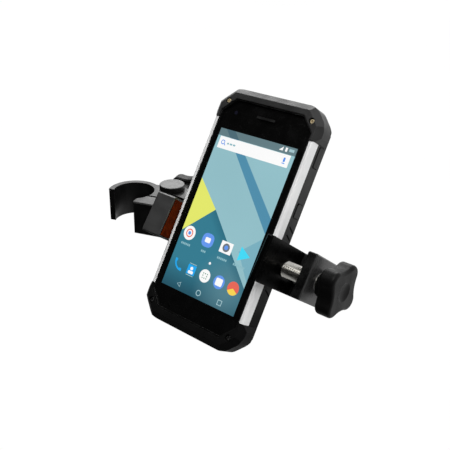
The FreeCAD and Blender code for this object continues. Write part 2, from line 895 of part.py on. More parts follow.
def block_screws(frame):
    screws = []
    rear = "rail_front - rail_thickness"
    for index, where in enumerate(block_screw_positions()):
        tag = str(index)
        head = cylinder("BlockHead" + tag, "z", "2.25", rear + " - 2.1", "2", where)
        shank = cylinder("BlockShank" + tag, "z", "block_shank", rear + " - 1",
                         "rail_thickness + 10", where)
        socket = hexagon("BlockSocket" + tag, 1.2, where, rear + " - 3", "2")
        bolt = fuse("BlockBolt" + tag, [head, shank])
        screws.append(cut("BlockScrew" + tag, bolt, [socket]))
    group("fixed_jaw_screws", screws, frame)


def end_tab(frame):
    """Plate at the screw end of the rail, tapped for the clamping screw."""
    plate = box("Tab", "tab_left", "-cradle_half_width", "rail_front - rail_thickness",
                "tab_thickness", "2 * cradle_half_width",
                "tab_front - rail_front + rail_thickness")
    plate = break_edges("TabEdges", plate, 0.7, lambda edge: middle(edge).z > dim("rail_front"))
    tools = [cylinder("ScrewBore", "x", "screw_radius + fit", "tab_left - 1", "10")]
    for side in (-1, 1):
        where = ("%d * 10" % side, "rail_front - 4")
        tools.append(cylinder("TabHole%d" % (side > 0), "x", "1.6", "tab_left - 1", "10", where))
        tools.append(cylinder("TabSeat%d" % (side > 0), "x", "3.1",
                              "tab_left + tab_thickness - 3", "5", where))
    finish(cut("EndTab", plate, tools), "end_tab", frame)
    screws = []
    for side in (-1, 1):
        where = ("%d * 10" % side, "rail_front - 4")
        tag = str(int(side > 0))
        face = "tab_left + tab_thickness"
        head = cylinder("TabHead" + tag, "x", "3", face + " - 2.95", "2.9", where)
        shank = cylinder("TabShank" + tag, "x", "1.5", "tab_left - 11", "tab_thickness + 9",
                         where)
        socket = hexagon("TabSocket" + tag, 1.4, where, face + " - 1.6", "3", axis="x")
        screws.append(cut("TabScrew" + tag, fuse("TabBolt" + tag, [head, shank]), [socket]))
    group("end_tab_screws", screws, frame)


def sliding_jaw(frame):
    """Plate jaw whose foot runs in the rail's slot, held down by a keeper under the rail."""
    lip_face = "jaw_face - pad_thickness - fit"
    plate = box("JawPlate", "jaw_face", "-cradle_half_width", "rail_front + seam",
                "jaw_thickness", "2 * cradle_half_width", "jaw_front - rail_front - seam")
    lip = box("JawLip", lip_face, "-cradle_half_width", "jaw_lip",
              "jaw_thickness + pad_thickness + fit", "2 * cradle_half_width",
              "jaw_front - jaw_lip")
    lip = break_edges("JawLipEdges", lip, 0.8, lambda edge: middle(edge).z > dim("jaw_front") - 1)
    plate = break_edges("JawEdges", plate, 0.8, lambda edge: middle(edge).z > dim("jaw_front") - 1)
    foot = box("JawFoot", "jaw_face", "-slot_half + seam", "rail_front - rail_thickness - seam",
               "5", "2 * slot_half - 2 * seam", "rail_thickness + 3")
    tools = [
        cylinder("TipBore", "x", "tip_radius + fit", "jaw_face - 1", "8"),
        cylinder("RingSeat", "x", "5.7", "jaw_face - 1", "2.6"),
        cylinder("KeeperTap", "z", "1.3", "rail_front - rail_thickness - 1", "8",
                 ("jaw_face + 2.5", "0")),
    ]
    finish(cut("SlidingJaw", fuse("JawStack", [plate, foot, lip]), tools), "sliding_jaw", frame)
    soft = box("SlidingPad", lip_face, "-cradle_half_width + 0.4", "rail_front + 3",
               "pad_thickness", "2 * cradle_half_width - 0.8",
               "jaw_lip - seam - rail_front - 3")
    finish(round_edges("SlidingPadSoft", soft, 0.4,
                       lambda edge: middle(edge).x < dim("jaw_face") - 1.3),
           "sliding_jaw_pad", frame)


def jaw_keeper(frame):
    level = "rail_front - rail_thickness - 2.7"
    plate = box("KeeperPlate", "jaw_face", "-9", level, "5", "18", "2.5")
    hole = cylinder("KeeperHole", "z", "1.35", "-30", "6", ("jaw_face + 2.5", "0"))
    finish(cut("Keeper", plate, [hole]), "jaw_keeper", frame)
    where = ("jaw_face + 2.5", "0")
    head = cylinder("KeeperHead", "z", "2.3", level + " - 1.7", "1.6", where)
    shank = cylinder("KeeperShank", "z", "1.25", level + " - 1", "8", where)
    socket = hexagon("KeeperSocket", 1.1, where, level + " - 2", "1.2")
    screw = cut("KeeperScrew", fuse("KeeperBolt", [head, shank]), [socket])
    finish(screw, "jaw_keeper_screw", frame)


def clamp_screw(frame):
    """Clamping screw: thread, reduced tip with a ring groove, and a stem inside the knob."""
    thread = cylinder("Thread", "x", "screw_radius", "jaw_face + jaw_thickness + seam",
                      "hub_start - jaw_face - jaw_thickness - 2 * seam")
    tip = cylinder("Tip", "x", "tip_radius", "jaw_face + 0.35", "6")
    stem = cylinder("Stem", "x", "bolt_radius", "hub_start - 1",
                    "knob_start - hub_start + 5.8")
    groove = cut(
        "RingGrooveTool",
        cylinder("GrooveOuter", "x", "6", "jaw_face + 0.6", "0.8"),
        [cylinder("GrooveInner", "x", "2.8", "jaw_face", "3")],
    )
    finish(cut("ClampScrew", fuse("ScrewStack", [thread, tip, stem]), [groove]),
           "clamp_screw", frame)
    ring = cut(
        "RetainingRing",
        cylinder("RingOuter", "x", "5.3", "jaw_face + 0.65", "0.7"),
        [
            cylinder("RingInner", "x", "2.9", "jaw_face", "3"),
            box("RingGap", "jaw_face", "-1.2", "2", "3", "2.4", "5"),
        ],
    )
    finish(ring, "screw_retaining_ring", frame)


def knob_outline():
    """Four round lobes joined by four round valleys, tangent to one another."""
    lobe = dim("lobe_radius")
    valley = dim("valley_radius")
    lobe_centre = dim("knob_radius") - lobe
    half_turn = math.radians(45)
    reach = lobe + valley
    along_axis = lobe_centre * math.cos(half_turn)
    off_axis = lobe_centre * math.sin(half_turn)
    valley_centre = along_axis + math.sqrt(reach ** 2 - off_axis ** 2)

    def polar(radius, degrees):
        return Vector(0, radius * math.cos(math.radians(degrees)),
                      radius * math.sin(math.radians(degrees)))

    edges = []
    for index in range(4):
        middle_angle = 90 * index
        centre = polar(lobe_centre, middle_angle)
        before = polar(valley_centre, middle_angle - 45)
        after = polar(valley_centre, middle_angle + 45)
        start = centre + (before - centre) * (lobe / reach)
        stop = centre + (after - centre) * (lobe / reach)
        peak = polar(dim("knob_radius"), middle_angle)
        edges.append(Part.Arc(start, peak, stop).toShape())
        next_centre = polar(lobe_centre, middle_angle + 90)
        next_start = next_centre + (after - next_centre) * (lobe / reach)
        low = polar(valley_centre - valley, middle_angle + 45)
        edges.append(Part.Arc(stop, low, next_start).toShape())
    return Part.Wire(edges)


def knob_shape(hub_length):
    """Star knob along +x: the lobed grip from x = 0 and a round hub on its -x side."""
    thickness = dim("knob_thickness")
    grip = Part.Face(knob_outline()).extrude(Vector(thickness, 0, 0))
    rims = [edge for edge in grip.Edges if edge.BoundBox.XLength < 1e-6]
    grip = grip.makeFillet(dim("knob_round"), rims)
    hub = Part.makeCone(
        dim("hub_radius"), dim("hub_radius") + 2, hub_length + 1,
        Vector(-hub_length, 0, 0), Vector(1, 0, 0),
    )
    bore = Part.makeCylinder(
        dim("bolt_radius") + dim("fit"), hub_length + 5, Vector(-hub_length, 0, 0),
        Vector(1, 0, 0),
    )
    dimple = Part.makeSphere(14, Vector(thickness + 12.6, 0, 0))
    return grip.fuse(hub).cut(bore).cut(dimple).removeSplitter()


def star_knob(label, hub_length, frame):
    knob = doc.addObject("Part::Feature", label + "_shape")
    knob.Shape = knob_shape(hub_length)
    finish(knob, label, frame)


def cradle_knob(frame):
    turn = Rotation(Vector(1, 0, 0), -16)
    start = Placement(Vector(dim("knob_start"), 0, 0), turn)
    hub_length = dim("knob_start") - dim("hub_start")
    star_knob("clamp_knob", hub_length, frame.multiply(start))


def cradle():
    frame = cradle_frame()
    cradle_rail(frame)
    fixed_jaw(frame)
    block_screws(frame)
    end_tab(frame)
    sliding_jaw(frame)
    jaw_keeper(frame)
    clamp_screw(frame)
    cradle_knob(frame)


# ---------------------------------------------------------------- arm between cradle and clamp

PIVOT_X = "(pinch_screw_x * cos(clamp_swing * 1 deg) - pivot_back * sin(clamp_swing * 1 deg))"
PIVOT_Y = "(pinch_screw_x * sin(clamp_swing * 1 deg) + pivot_back * cos(clamp_swing * 1 deg))"


def lug_left():
    return dim("handset_offset_x") + dim("lug_start")


def pivot_arm(frame):
    """Fork around the pole clamp's boss at one end, clevis around the cradle's lug at the other."""
    ear_left = "handset_offset_x + lug_start - washer_thickness - seam - ear_thickness"
    ear_right = "handset_offset_x + lug_start + lug_width + washer_thickness + seam"
    web_left = PIVOT_X + " + web_start"
    front = PIVOT_Y + " - arm_half"
    plates = (
        ("Top", "clamp_half_height + seam"),
        ("Bottom", "-clamp_half_height - seam - fork_thickness"),
    )
    solids = []
    for side, level in plates:
        solids.append(cylinder("ForkEnd" + side, "z", "10", level, "fork_thickness",
                               (PIVOT_X, PIVOT_Y)))
        solids.append(box("Fork" + side, PIVOT_X, front, level,
                          "web_start + web_length", "2 * arm_half", "fork_thickness"))
    solids.append(box(
        "Web", web_left, front, "-clamp_half_height - seam - fork_thickness",
        "web_length", "2 * arm_half", "2 * (clamp_half_height + seam + fork_thickness)",
    ))
    solids.append(box("ArmBar", web_left, front, "-ear_radius",
                      "%s + ear_thickness - (%s)" % (ear_right, web_left),
                      "2 * arm_half", "2 * ear_radius"))
    for side, start in (("Left", ear_left), ("Right", ear_right)):
        solids.append(cylinder("EarEnd" + side, "x", "ear_radius", start, "ear_thickness",
                               ("tilt_axis_y", "0")))
        solids.append(box("Ear" + side, start, "tilt_axis_y", "-ear_radius",
                          "ear_thickness", PIVOT_Y + " - tilt_axis_y", "2 * ear_radius"))
    tools = [
        cylinder("ClevisBore", "x", "bolt_radius + fit", "50", "50", ("tilt_axis_y", "0")),
        cylinder("ForkBore", "z", "shoulder_radius + fit", "-25", "50", (PIVOT_X, PIVOT_Y)),
    ]
    arm_block = cut("ArmBlock", fuse("ArmStack", solids), tools)

    def outer_long(edge):
        where = middle(edge)
        at_end = edge.BoundBox.XMin > lug_left() + dim("lug_width")
        return along(edge, "x") and edge.Length > 20 and where.y > 20 or (
            at_end and along(edge, "z") and where.y > 20)

    finish(break_edges("PivotArm", arm_block, 1.5, outer_long), "pivot_arm", frame)


def tilt_hardware(frame):
    left = lug_left() - dim("washer_thickness") - dim("seam") - dim("ear_thickness")
    right = (lug_left() + dim("lug_width") + dim("washer_thickness") + dim("seam")
             + dim("ear_thickness"))
    across = ("tilt_axis_y", "0")
    head = cylinder("TiltHead", "x", "6.5", str(left - 5.1), "5", across)
    shank = cylinder("TiltShank", "x", "bolt_radius", str(left - 1), str(right - left + 9),
                     across)
    socket = hexagon("TiltSocket", 2.9, across, str(left - 6), "3.5", axis="x")
    bolt = cut("TiltBolt", fuse("TiltBoltStack", [head, shank]), [socket])
    finish(bolt, "tilt_bolt", frame)
    nut = hexagon("NutBlank", 7.4, across, str(right + 0.1), "6.5", axis="x")
    thread = cylinder("NutBore", "x", "bolt_radius + fit", str(right - 1), "12", across)
    finish(cut("TiltNut", nut, [thread]), "tilt_nut", frame)
    washers = []
    starts = (lug_left() - dim("washer_thickness") - dim("seam") / 2,
              lug_left() + dim("lug_width") + dim("seam") / 2)
    for index, start in enumerate(starts):
        disc = cylinder("WasherDisc%d" % index, "x", "7.3", str(start), "washer_thickness",
                        across)
        hole = cylinder("WasherHole%d" % index, "x", "bolt_radius + seam", str(start - 1), "3",
                        across)
        washers.append(cut("Washer%d" % index, disc, [hole]))
    group("tilt_washers", washers, frame)


def arm():
    frame = Placement()
    pivot_arm(frame)
    tilt_hardware(frame)


# ---------------------------------------------------------------- pole clamp

def clamp_body(frame):
    """Hook around the back of the pole, with the block that carries the swing pivot."""
    height = "2 * clamp_half_height"
    level = "-clamp_half_height"
    hook = cylinder("Hook", "z", "pole_radius + hook_thickness", level, height)
    block = box("ClampBlock", "0", "clamp_split", level, "clamp_right",
                "clamp_back - clamp_split", height)

    def right_corner(edge):
        return along(edge, "z") and middle(edge).x > dim("clamp_right") - 1

    block = round_edges("ClampBlockRound", block, 4.0, right_corner)
    tools = [
        cylinder("PoleBore", "z", "pole_radius", "-20", "40"),
        box("FrontOpening", "-30", "-30", "-20", "80", "clamp_split + 30", "40"),
        cylinder("PinchHole", "y", "pinch_radius + seam", "-10", "40", ("pinch_screw_x", "0")),
    ]
    for side, level in (("Top", "5.4"), ("Bottom", "-clamp_half_height - 1")):
        tools.append(cylinder("ShoulderHole" + side, "z", "shoulder_radius + fit", level,
                              "clamp_half_height - 4.4", ("pinch_screw_x", "pivot_back")))
    for side in (-1, 1):
        tools.append(cylinder("GuideSeat%d" % (side > 0), "y", "guide_radius + 0.02", "-10", "17",
                              ("guide_x", "%d * guide_z" % side)))
    solid = cut("ClampBody", fuse("ClampStack", [hook, block]), tools)
    finish(solid, "pole_clamp_body", frame)


def shoulder_bolts(frame):
    """Two short pivot bolts, above and below, that leave room for the pinch screw."""
    bolts = []
    across = ("pinch_screw_x", "pivot_back")
    outside = dim("clamp_half_height") + 2 * dim("seam") + dim("fork_thickness")
    for side, shank_start, cap_start in (
        ("Top", 5.6, outside),
        ("Bottom", -outside - 1, -outside - dim("cap_thickness")),
    ):
        shank = cylinder("Shoulder" + side, "z", "shoulder_radius", str(shank_start),
                         str(outside + 1 - 5.6), across)
        cap = cylinder("Cap" + side, "z", "cap_radius", str(cap_start), "cap_thickness", across)
        rim = dim("cap_thickness") + outside
        soft = round_edges("CapEdge" + side, cap, 0.8,
                           lambda edge: abs(abs(middle(edge).z) - rim) < 1e-6)
        bolts.append(fuse("PivotBolt" + side, [shank, soft]))
    group("swing_pivot_bolts", bolts, frame)


def guide_pins(frame):
    pins = [
        cylinder("GuidePin%d" % (side > 0), "y", "guide_radius", "-17", "23.9",
                 ("guide_x", "%d * guide_z" % side))
        for side in (-1, 1)
    ]
    group("guide_pins", pins, frame)


def front_jaw(frame):
    """Finger in front of the pole, pulled back by the pinch screw."""
    height = "2 * clamp_half_height"
    plate = box("Finger", "jaw_left", "jaw_outer", "-clamp_half_height",
                "jaw_right - jaw_left", "clamp_split - pinch_gap - jaw_outer", height)

    def front_edge(edge):
        return middle(edge).y < dim("jaw_outer") + 0.5

    plate = break_edges("FingerEdges", plate, 0.8, front_edge)
    tools = [
        cylinder("JawBore", "z", "pole_radius", "-20", "40"),
        cylinder("PinchTap", "y", "pinch_radius + fit", "-17.5", "20", ("pinch_screw_x", "0")),
    ]
    for side in (-1, 1):
        tools.append(cylinder("GuideSlide%d" % (side > 0), "y", "guide_radius + fit", "-17.5",
                              "20", ("guide_x", "%d * guide_z" % side)))
    finish(cut("FrontJaw", plate, tools), "pole_clamp_jaw", frame)


def pinch_screw(frame):
    across = ("pinch_screw_x", "0")
    hub_end = dim("clamp_back") + dim("seam")
    shank = cylinder("PinchShank", "y", "pinch_radius", "-17", str(hub_end + 17 + 16), across)
    groove = cut(
        "PinchGrooveTool",
        cylinder("PinchGrooveOuter", "y", "6", "clamp_split - 1.2", "0.9", across),
        [cylinder("PinchGrooveInner", "y", "3.2", "clamp_split - 3", "6", across)],
    )
    finish(cut("PinchScrew", shank, [groove]), "pinch_screw", frame)
    ring = cut(
        "PinchRing",
        cylinder("PinchRingOuter", "y", "5.8", "clamp_split - 1.15", "0.8", across),
        [
            cylinder("PinchRingInner", "y", "3.3", "clamp_split - 3", "6", across),
            box("PinchRingGap", "pinch_screw_x + 2", "clamp_split - 3", "-1.3", "5", "6", "2.6"),
        ],
    )
    finish(ring, "pinch_screw_ring", frame)
    neck = dim("pinch_neck")
    turn = Rotation(Vector(0, 0, 1), 90).multiply(Rotation(Vector(1, 0, 0), -50))
    start = Vector(dim("pinch_screw_x"), hub_end + neck, 0)
    star_knob("pinch_knob", neck, frame.multiply(Placement(start, turn)))


def pole_clamp():
    frame = clamp_frame()
    clamp_body(frame)
    shoulder_bolts(frame)
    guide_pins(frame)
    front_jaw(frame)
    pinch_screw(frame)


# ---------------------------------------------------------------- build, check and write

def check_document():
    for item in doc.Objects:
        if "Invalid" in item.State or "Error" in item.State:
            raise RuntimeError("%s failed: %s" % (item.Name, item.State))
    for item in SUB_PARTS:
        if item.Shape.isNull() or not item.Shape.isValid():
            raise RuntimeError("%s has no valid shape" % item.Label)


def write_steps():
    os.makedirs("parts", exist_ok=True)
    for item in SUB_PARTS:
        item.Shape.exportStep("parts/%s.step" % item.Label)


handset()
cradle()
arm()
pole_clamp()
doc.recompute()
check_document()
write_steps()
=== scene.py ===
import json
import math

import bmesh
import bpy
from mathutils import Matrix, Vector


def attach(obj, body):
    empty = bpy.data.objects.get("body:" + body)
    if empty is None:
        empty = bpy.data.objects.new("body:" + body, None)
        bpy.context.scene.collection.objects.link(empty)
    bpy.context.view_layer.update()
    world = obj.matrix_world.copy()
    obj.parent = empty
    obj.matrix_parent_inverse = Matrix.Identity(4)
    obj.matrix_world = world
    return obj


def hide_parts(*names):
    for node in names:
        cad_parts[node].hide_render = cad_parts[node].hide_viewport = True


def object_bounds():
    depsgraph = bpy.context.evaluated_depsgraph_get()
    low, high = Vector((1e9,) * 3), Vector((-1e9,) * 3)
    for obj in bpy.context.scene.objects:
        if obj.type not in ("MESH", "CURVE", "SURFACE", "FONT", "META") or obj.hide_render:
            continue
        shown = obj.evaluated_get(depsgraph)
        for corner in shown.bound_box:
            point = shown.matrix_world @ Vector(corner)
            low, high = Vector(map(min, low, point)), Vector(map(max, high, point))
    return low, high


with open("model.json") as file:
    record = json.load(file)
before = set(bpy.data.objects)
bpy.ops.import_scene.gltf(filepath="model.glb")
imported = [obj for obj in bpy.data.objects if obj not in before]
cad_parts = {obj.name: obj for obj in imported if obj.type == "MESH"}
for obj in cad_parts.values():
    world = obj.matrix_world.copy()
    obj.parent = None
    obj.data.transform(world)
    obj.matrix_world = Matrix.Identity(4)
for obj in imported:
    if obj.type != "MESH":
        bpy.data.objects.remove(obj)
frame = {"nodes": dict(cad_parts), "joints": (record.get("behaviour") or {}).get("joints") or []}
cad_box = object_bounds()

MM = 0.001
NODES = frame["nodes"]
JOINTS = {joint["name"]: joint for joint in frame["joints"]}

# ---------------------------------------------------------------- frames taken from the CAD

RIGHT = Vector((1, 0, 0))
OUT = Vector(JOINTS["handset_lift"]["axis"]).normalized()
SCREEN_UP = OUT.cross(RIGHT).normalized()
HANDSET_AXES = Matrix((RIGHT, SCREEN_UP, OUT)).transposed()


def extent(node, axes):
    """Lowest and highest corner of a CAD node, measured along the columns of `axes`."""
    points = [axes.transposed() @ vertex.co for vertex in NODES[node].data.vertices]
    low = Vector([min(point[k] for point in points) for k in range(3)])
    high = Vector([max(point[k] for point in points) for k in range(3)])
    return low, high


def handset_matrix():
    """Frame with its origin on the glass at the middle of the screen, x right, y up, z out."""
    low, high = extent("display_module", HANDSET_AXES)
    glass_top = extent("cover_glass", HANDSET_AXES)[1].z
    origin = HANDSET_AXES @ Vector(((low.x + high.x) / 2, (low.y + high.y) / 2, glass_top))
    return Matrix.Translation(origin) @ HANDSET_AXES.to_4x4()


HANDSET = handset_matrix()


def in_handset(node):
    """Extent of a CAD node in the handset's frame."""
    low, high = extent(node, HANDSET_AXES)
    offset = HANDSET_AXES.transposed() @ HANDSET.translation
    return low - offset, high - offset


def joint_matrix(name, seed):
    """Frame on a hinge: z along its axis, x as near to `seed` as it can be."""
    joint = JOINTS[name]
    z_axis = Vector(joint["axis"]).normalized()
    y_axis = z_axis.cross(seed).normalized()
    x_axis = y_axis.cross(z_axis).normalized()
    turn = Matrix((x_axis, y_axis, z_axis)).transposed()
    return Matrix.Translation(Vector(joint["pos_m"])) @ turn.to_4x4()


# ---------------------------------------------------------------- materials

class Graph:
    """Small helper that wires one material's nodes."""

    def __init__(self, name):
        self.material = bpy.data.materials.new(name)
        self.material.use_nodes = True
        self.tree = self.material.node_tree
        self.tree.nodes.clear()
        self.output = self.tree.nodes.new("ShaderNodeOutputMaterial")
        self.coordinates = self.add("ShaderNodeTexCoord").outputs["Object"]

    def add(self, kind, **settings):
        node = self.tree.nodes.new(kind)
        for key, value in settings.items():
            setattr(node, key, value)
        return node

    def link(self, source, target):
        self.tree.links.new(source, target)

    def put(self, socket, value):
        """Give an input a number, a colour or another node's output."""
        if isinstance(value, bpy.types.NodeSocket):
            self.link(value, socket)
        elif isinstance(value, (tuple, list)):
            socket.default_value = (*value, 1.0) if len(value) == 3 else value
        else:
            socket.default_value = value

    def stretched(self, factors):
        mapping = self.add("ShaderNodeMapping", vector_type="POINT")
        mapping.inputs["Scale"].default_value = factors
        self.link(self.coordinates, mapping.inputs["Vector"])
        return mapping.outputs["Vector"]

    def noise(self, size_mm, detail=3.0, vector=None):
        """Noise from 0 to 1 whose blotches are about `size_mm` across."""
        node = self.add("ShaderNodeTexNoise")
        node.inputs["Scale"].default_value = 1 / (size_mm * MM)
        node.inputs["Detail"].default_value = detail
        self.link(vector or self.coordinates, node.inputs["Vector"])
        return node.outputs["Fac"]

    def math(self, operation, first, second=0.0, clamp=False):
        node = self.add("ShaderNodeMath", operation=operation, use_clamp=clamp)
        self.put(node.inputs[0], first)
        self.put(node.inputs[1], second)
        return node.outputs[0]

    def span(self, value, low, high, start=0.0, stop=1.0):
        """Map low..high to start..stop, clamped."""
        node = self.add("ShaderNodeMapRange")
        self.put(node.inputs["Value"], value)
        for key, number in (("From Min", low), ("From Max", high),
                            ("To Min", start), ("To Max", stop)):
            self.put(node.inputs[key], number)
        return node.outputs["Result"]

    def mix(self, factor, first, second):
        node = self.add("ShaderNodeMix", data_type="RGBA")
        self.put(node.inputs[0], factor)
        self.put(node.inputs[6], first)
        self.put(node.inputs[7], second)
        return node.outputs[2]

    def distance_from(self, joint):
        """Millimetres from a joint's axis that runs along x."""
        offset = self.add("ShaderNodeVectorMath", operation="SUBTRACT")
        self.link(self.coordinates, offset.inputs[0])
        offset.inputs[1].default_value = JOINTS[joint]["pos_m"]
        across = self.add("ShaderNodeVectorMath", operation="MULTIPLY")
        self.link(offset.outputs[0], across.inputs[0])
        across.inputs[1].default_value = (0, 1 / MM, 1 / MM)
        length = self.add("ShaderNodeVectorMath", operation="LENGTH")
        self.link(across.outputs[0], length.inputs[0])
        return length.outputs["Value"]

    def edge_normal(self, radius_mm):
        node = self.add("ShaderNodeBevel", samples=6)
        node.inputs["Radius"].default_value = radius_mm * MM
        return node.outputs["Normal"]

    def edge_mask(self, rounded, low, high):
        """1 on sharp edges, 0 on flat faces."""
        geometry = self.add("ShaderNodeNewGeometry")
        dot = self.add("ShaderNodeVectorMath", operation="DOT_PRODUCT")
        self.link(rounded, dot.inputs[0])
        self.link(geometry.outputs["Normal"], dot.inputs[1])
        away = self.math("SUBTRACT", 1.0, dot.outputs["Value"])
        return self.span(away, low, high)

    def bump(self, height, depth_mm, strength=1.0, normal=None):
        node = self.add("ShaderNodeBump")
        node.inputs["Strength"].default_value = strength
        node.inputs["Distance"].default_value = depth_mm * MM
        self.link(height, node.inputs["Height"])
        if normal is not None:
            self.link(normal, node.inputs["Normal"])
        return node.outputs["Normal"]


def shade(value):
    """Grey of one brightness."""
    return (value, value, value)


def screen_point(graph):
    """Millimetres across and up the screen, as two outputs."""
    outputs = []
    for direction in (RIGHT, SCREEN_UP):
        dot = graph.add("ShaderNodeVectorMath", operation="DOT_PRODUCT")
        graph.link(graph.coordinates, dot.inputs[0])
        dot.inputs[1].default_value = direction / MM
        shift = HANDSET.translation.dot(direction) / MM
        outputs.append(graph.math("SUBTRACT", dot.outputs["Value"], shift))
    return outputs


def worn_edges(graph, paint, rounded, wear):
    """Scuffed colour along sharp edges."""
    scuffs = graph.span(graph.noise(1.6, 5.0), 0.35, 0.6)
    mask = graph.math("MULTIPLY", graph.edge_mask(rounded, 0.02, 0.25), scuffs)
    return graph.mix(mask, paint, wear)


def painted_lit_faces(graph, paint, rounded, axis, color):
    """Painted light: a lighter colour on the faces that look along an axis, standing in for the
    light falling on that side.
    """
    facing = graph.add("ShaderNodeSeparateXYZ")
    graph.link(rounded, facing.inputs[0])
    return graph.mix(graph.span(facing.outputs[axis], 0.5, 0.9), paint, color)


def painted_hole_highlight(graph, paint, joint, inner, outer):
    """Painted highlight: a bright ring between two distances from a joint's axis, as if the hole's
    edge caught the light.
    """
    reach = graph.distance_from(joint)
    ring = graph.math("MULTIPLY", graph.math("GREATER_THAN", reach, inner),
                      graph.math("LESS_THAN", reach, outer))
    return graph.mix(ring, paint, shade(0.6))


def surface(name, color, roughness, metallic=0.0, specular=0.5, grain=(0.25, 0.012),
            mottle=(9.0, 0.12), rough_spread=0.1, edge=0.3, wear=None, stretch=(1, 1, 1),
            coat=0.0, painted_lit_side=None, painted_foot_shade=None, painted_hole_glint=None):
    """Finish with fine grain, slow colour and gloss variation, and softened, worn edges.

    grain: size and depth in mm
    mottle: size in mm and share of the colour
    wear: colour that shows along edges
    painted_lit_side: painted light, an axis, and the lighter colour painted on the faces that look
    along it
    fade: painted shade, the share of the shine left at the handset's foot, rising to all of it at
    the head; the colour darkens with it
    bore: painted highlight, a bright ring round a joint's axis, as the joint, its inner and its
    outer mm
    """
    graph = Graph(name)
    shader = graph.add("ShaderNodeBsdfPrincipled")
    graph.link(shader.outputs[0], graph.output.inputs["Surface"])
    vector = graph.stretched(stretch)
    slow = graph.noise(mottle[0], 2.0)
    fine = graph.noise(grain[0], 4.0, vector)
    rounded = graph.edge_normal(edge)
    darker = tuple(channel * (1 - mottle[1]) for channel in color)
    lighter = tuple(min(1.0, channel * (1 + mottle[1])) for channel in color)
    paint = graph.mix(graph.span(slow, 0.3, 0.7), darker, lighter)
    gloss = graph.math("ADD", graph.span(slow, 0.25, 0.75, -rough_spread, rough_spread),
                       roughness)
    gloss = graph.math("ADD", gloss, graph.span(fine, 0.3, 0.7, -0.05, 0.05), clamp=True)
    if wear is not None:
        paint = worn_edges(graph, paint, rounded, wear)
    # Painted light: faces that look along the given axis get a lighter colour.
    if painted_lit_side is not None:
        paint = painted_lit_faces(graph, paint, rounded, *painted_lit_side)
    # Painted highlight: a bright ring round a joint's hole.
    if painted_hole_glint is not None:
        paint = painted_hole_highlight(graph, paint, *painted_hole_glint)
    # Painted shade: shine and colour darken towards the handset's foot, standing in for the light
    # falling off down its side.
    if painted_foot_shade is not None:
        share = graph.span(screen_point(graph)[1], -50.0, 60.0, painted_foot_shade, 1.0)
        specular = graph.math("MULTIPLY", share, specular)
        paint = graph.mix(share, shade(0.002), paint)
    graph.put(shader.inputs["Base Color"], paint)
    graph.put(shader.inputs["Roughness"], gloss)
    graph.put(shader.inputs["Metallic"], metallic)
    graph.put(shader.inputs["Specular IOR Level"], specular)
    graph.put(shader.inputs["Coat Weight"], coat)
    graph.put(shader.inputs["Normal"], graph.bump(fine, grain[1], 0.6, rounded))
    return graph.material


def lit_panel(name, color, strength, sheen):
    """Lit part of the display: even light with a faint pixel texture."""
    graph = Graph(name)
    emission = graph.add("ShaderNodeEmission")
    slow = graph.noise(45.0, 1.0)
    pixels = graph.noise(0.12, 1.0)
    dim = tuple(channel * (1 - sheen) for channel in color)
    tone = graph.mix(graph.span(slow, 0.3, 0.7), dim, color)
    tone = graph.mix(graph.span(pixels, 0.2, 0.8, 0.0, 0.06), tone, (0, 0, 0))
    graph.put(emission.inputs["Color"], tone)
    graph.put(emission.inputs["Strength"], strength)
    graph.link(emission.outputs[0], graph.output.inputs["Surface"])
    return graph.material


def clear_glass(name):
    """Thin flat glass: see-through, with a mirror-like surface and faint finger smudges."""
    graph = Graph(name)
    clear = graph.add("ShaderNodeBsdfTransparent")
    graph.put(clear.inputs["Color"], shade(1.0))
    mirror = graph.add("ShaderNodeBsdfGlossy")
    smears = graph.span(graph.noise(14.0, 3.0), 0.4, 0.75, 0.02, 0.11)
    graph.put(mirror.inputs["Roughness"], smears)
    ripple = graph.bump(graph.noise(60.0, 0.0), 0.01, 0.2)
    graph.link(ripple, mirror.inputs["Normal"])
    fresnel = graph.add("ShaderNodeFresnel")
    fresnel.inputs["IOR"].default_value = 1.45
    join = graph.add("ShaderNodeMixShader")
    facts = graph.add("ShaderNodeNewGeometry")
    outer_side = graph.math("SUBTRACT", 1.0, facts.outputs["Backfacing"])
    graph.link(graph.math("MULTIPLY", fresnel.outputs[0], outer_side), join.inputs[0])
    graph.link(clear.outputs[0], join.inputs[1])
    graph.link(mirror.outputs[0], join.inputs[2])
    ink = graph.add("ShaderNodeBsdfDiffuse")
    graph.put(ink.inputs["Color"], shade(0.006))
    flat = graph.add("ShaderNodeVectorMath", operation="DOT_PRODUCT")
    own_normal = graph.add("ShaderNodeTexCoord").outputs["Normal"]
    graph.link(own_normal, flat.inputs[0])
    flat.inputs[1].default_value = OUT
    sideways = graph.math("LESS_THAN", graph.math("ABSOLUTE", flat.outputs["Value"]), 0.7)
    pick = graph.add("ShaderNodeMixShader")
    graph.link(sideways, pick.inputs[0])
    graph.link(join.outputs[0], pick.inputs[1])
    graph.link(ink.outputs[0], pick.inputs[2])
    graph.link(pick.outputs[0], graph.output.inputs["Surface"])
    return graph.material


def lens_glass(name, color):
    """Dark polished lens with a deep tint and a coated shine."""
    graph = Graph(name)
    shader = graph.add("ShaderNodeBsdfPrincipled")
    rim = graph.add("ShaderNodeLayerWeight")
    rim.inputs["Blend"].default_value = 0.35
    graph.put(shader.inputs["Base Color"],
              graph.mix(rim.outputs["Facing"], color, (0.03, 0.02, 0.06)))
    graph.put(shader.inputs["Roughness"], graph.span(graph.noise(3.0, 2.0), 0.4, 0.8, 0.03, 0.09))
    graph.put(shader.inputs["Coat Weight"], 1.0)
    graph.put(shader.inputs["Normal"], graph.bump(graph.noise(2.0, 1.0), 0.002, 0.3))
    graph.link(shader.outputs[0], graph.output.inputs["Surface"])
    return graph.material


def brushed(name, color, roughness, along, wear=None, edge=0.25):
    """Metal with fine lines running along one axis."""
    stretch = [1.0, 1.0, 1.0]
    stretch["xyz".index(along)] = 0.04
    return surface(name, color, roughness, metallic=1.0, grain=(0.12, 0.006),
                   mottle=(6.0, 0.06), rough_spread=0.06, edge=edge, wear=wear,
                   stretch=tuple(stretch))


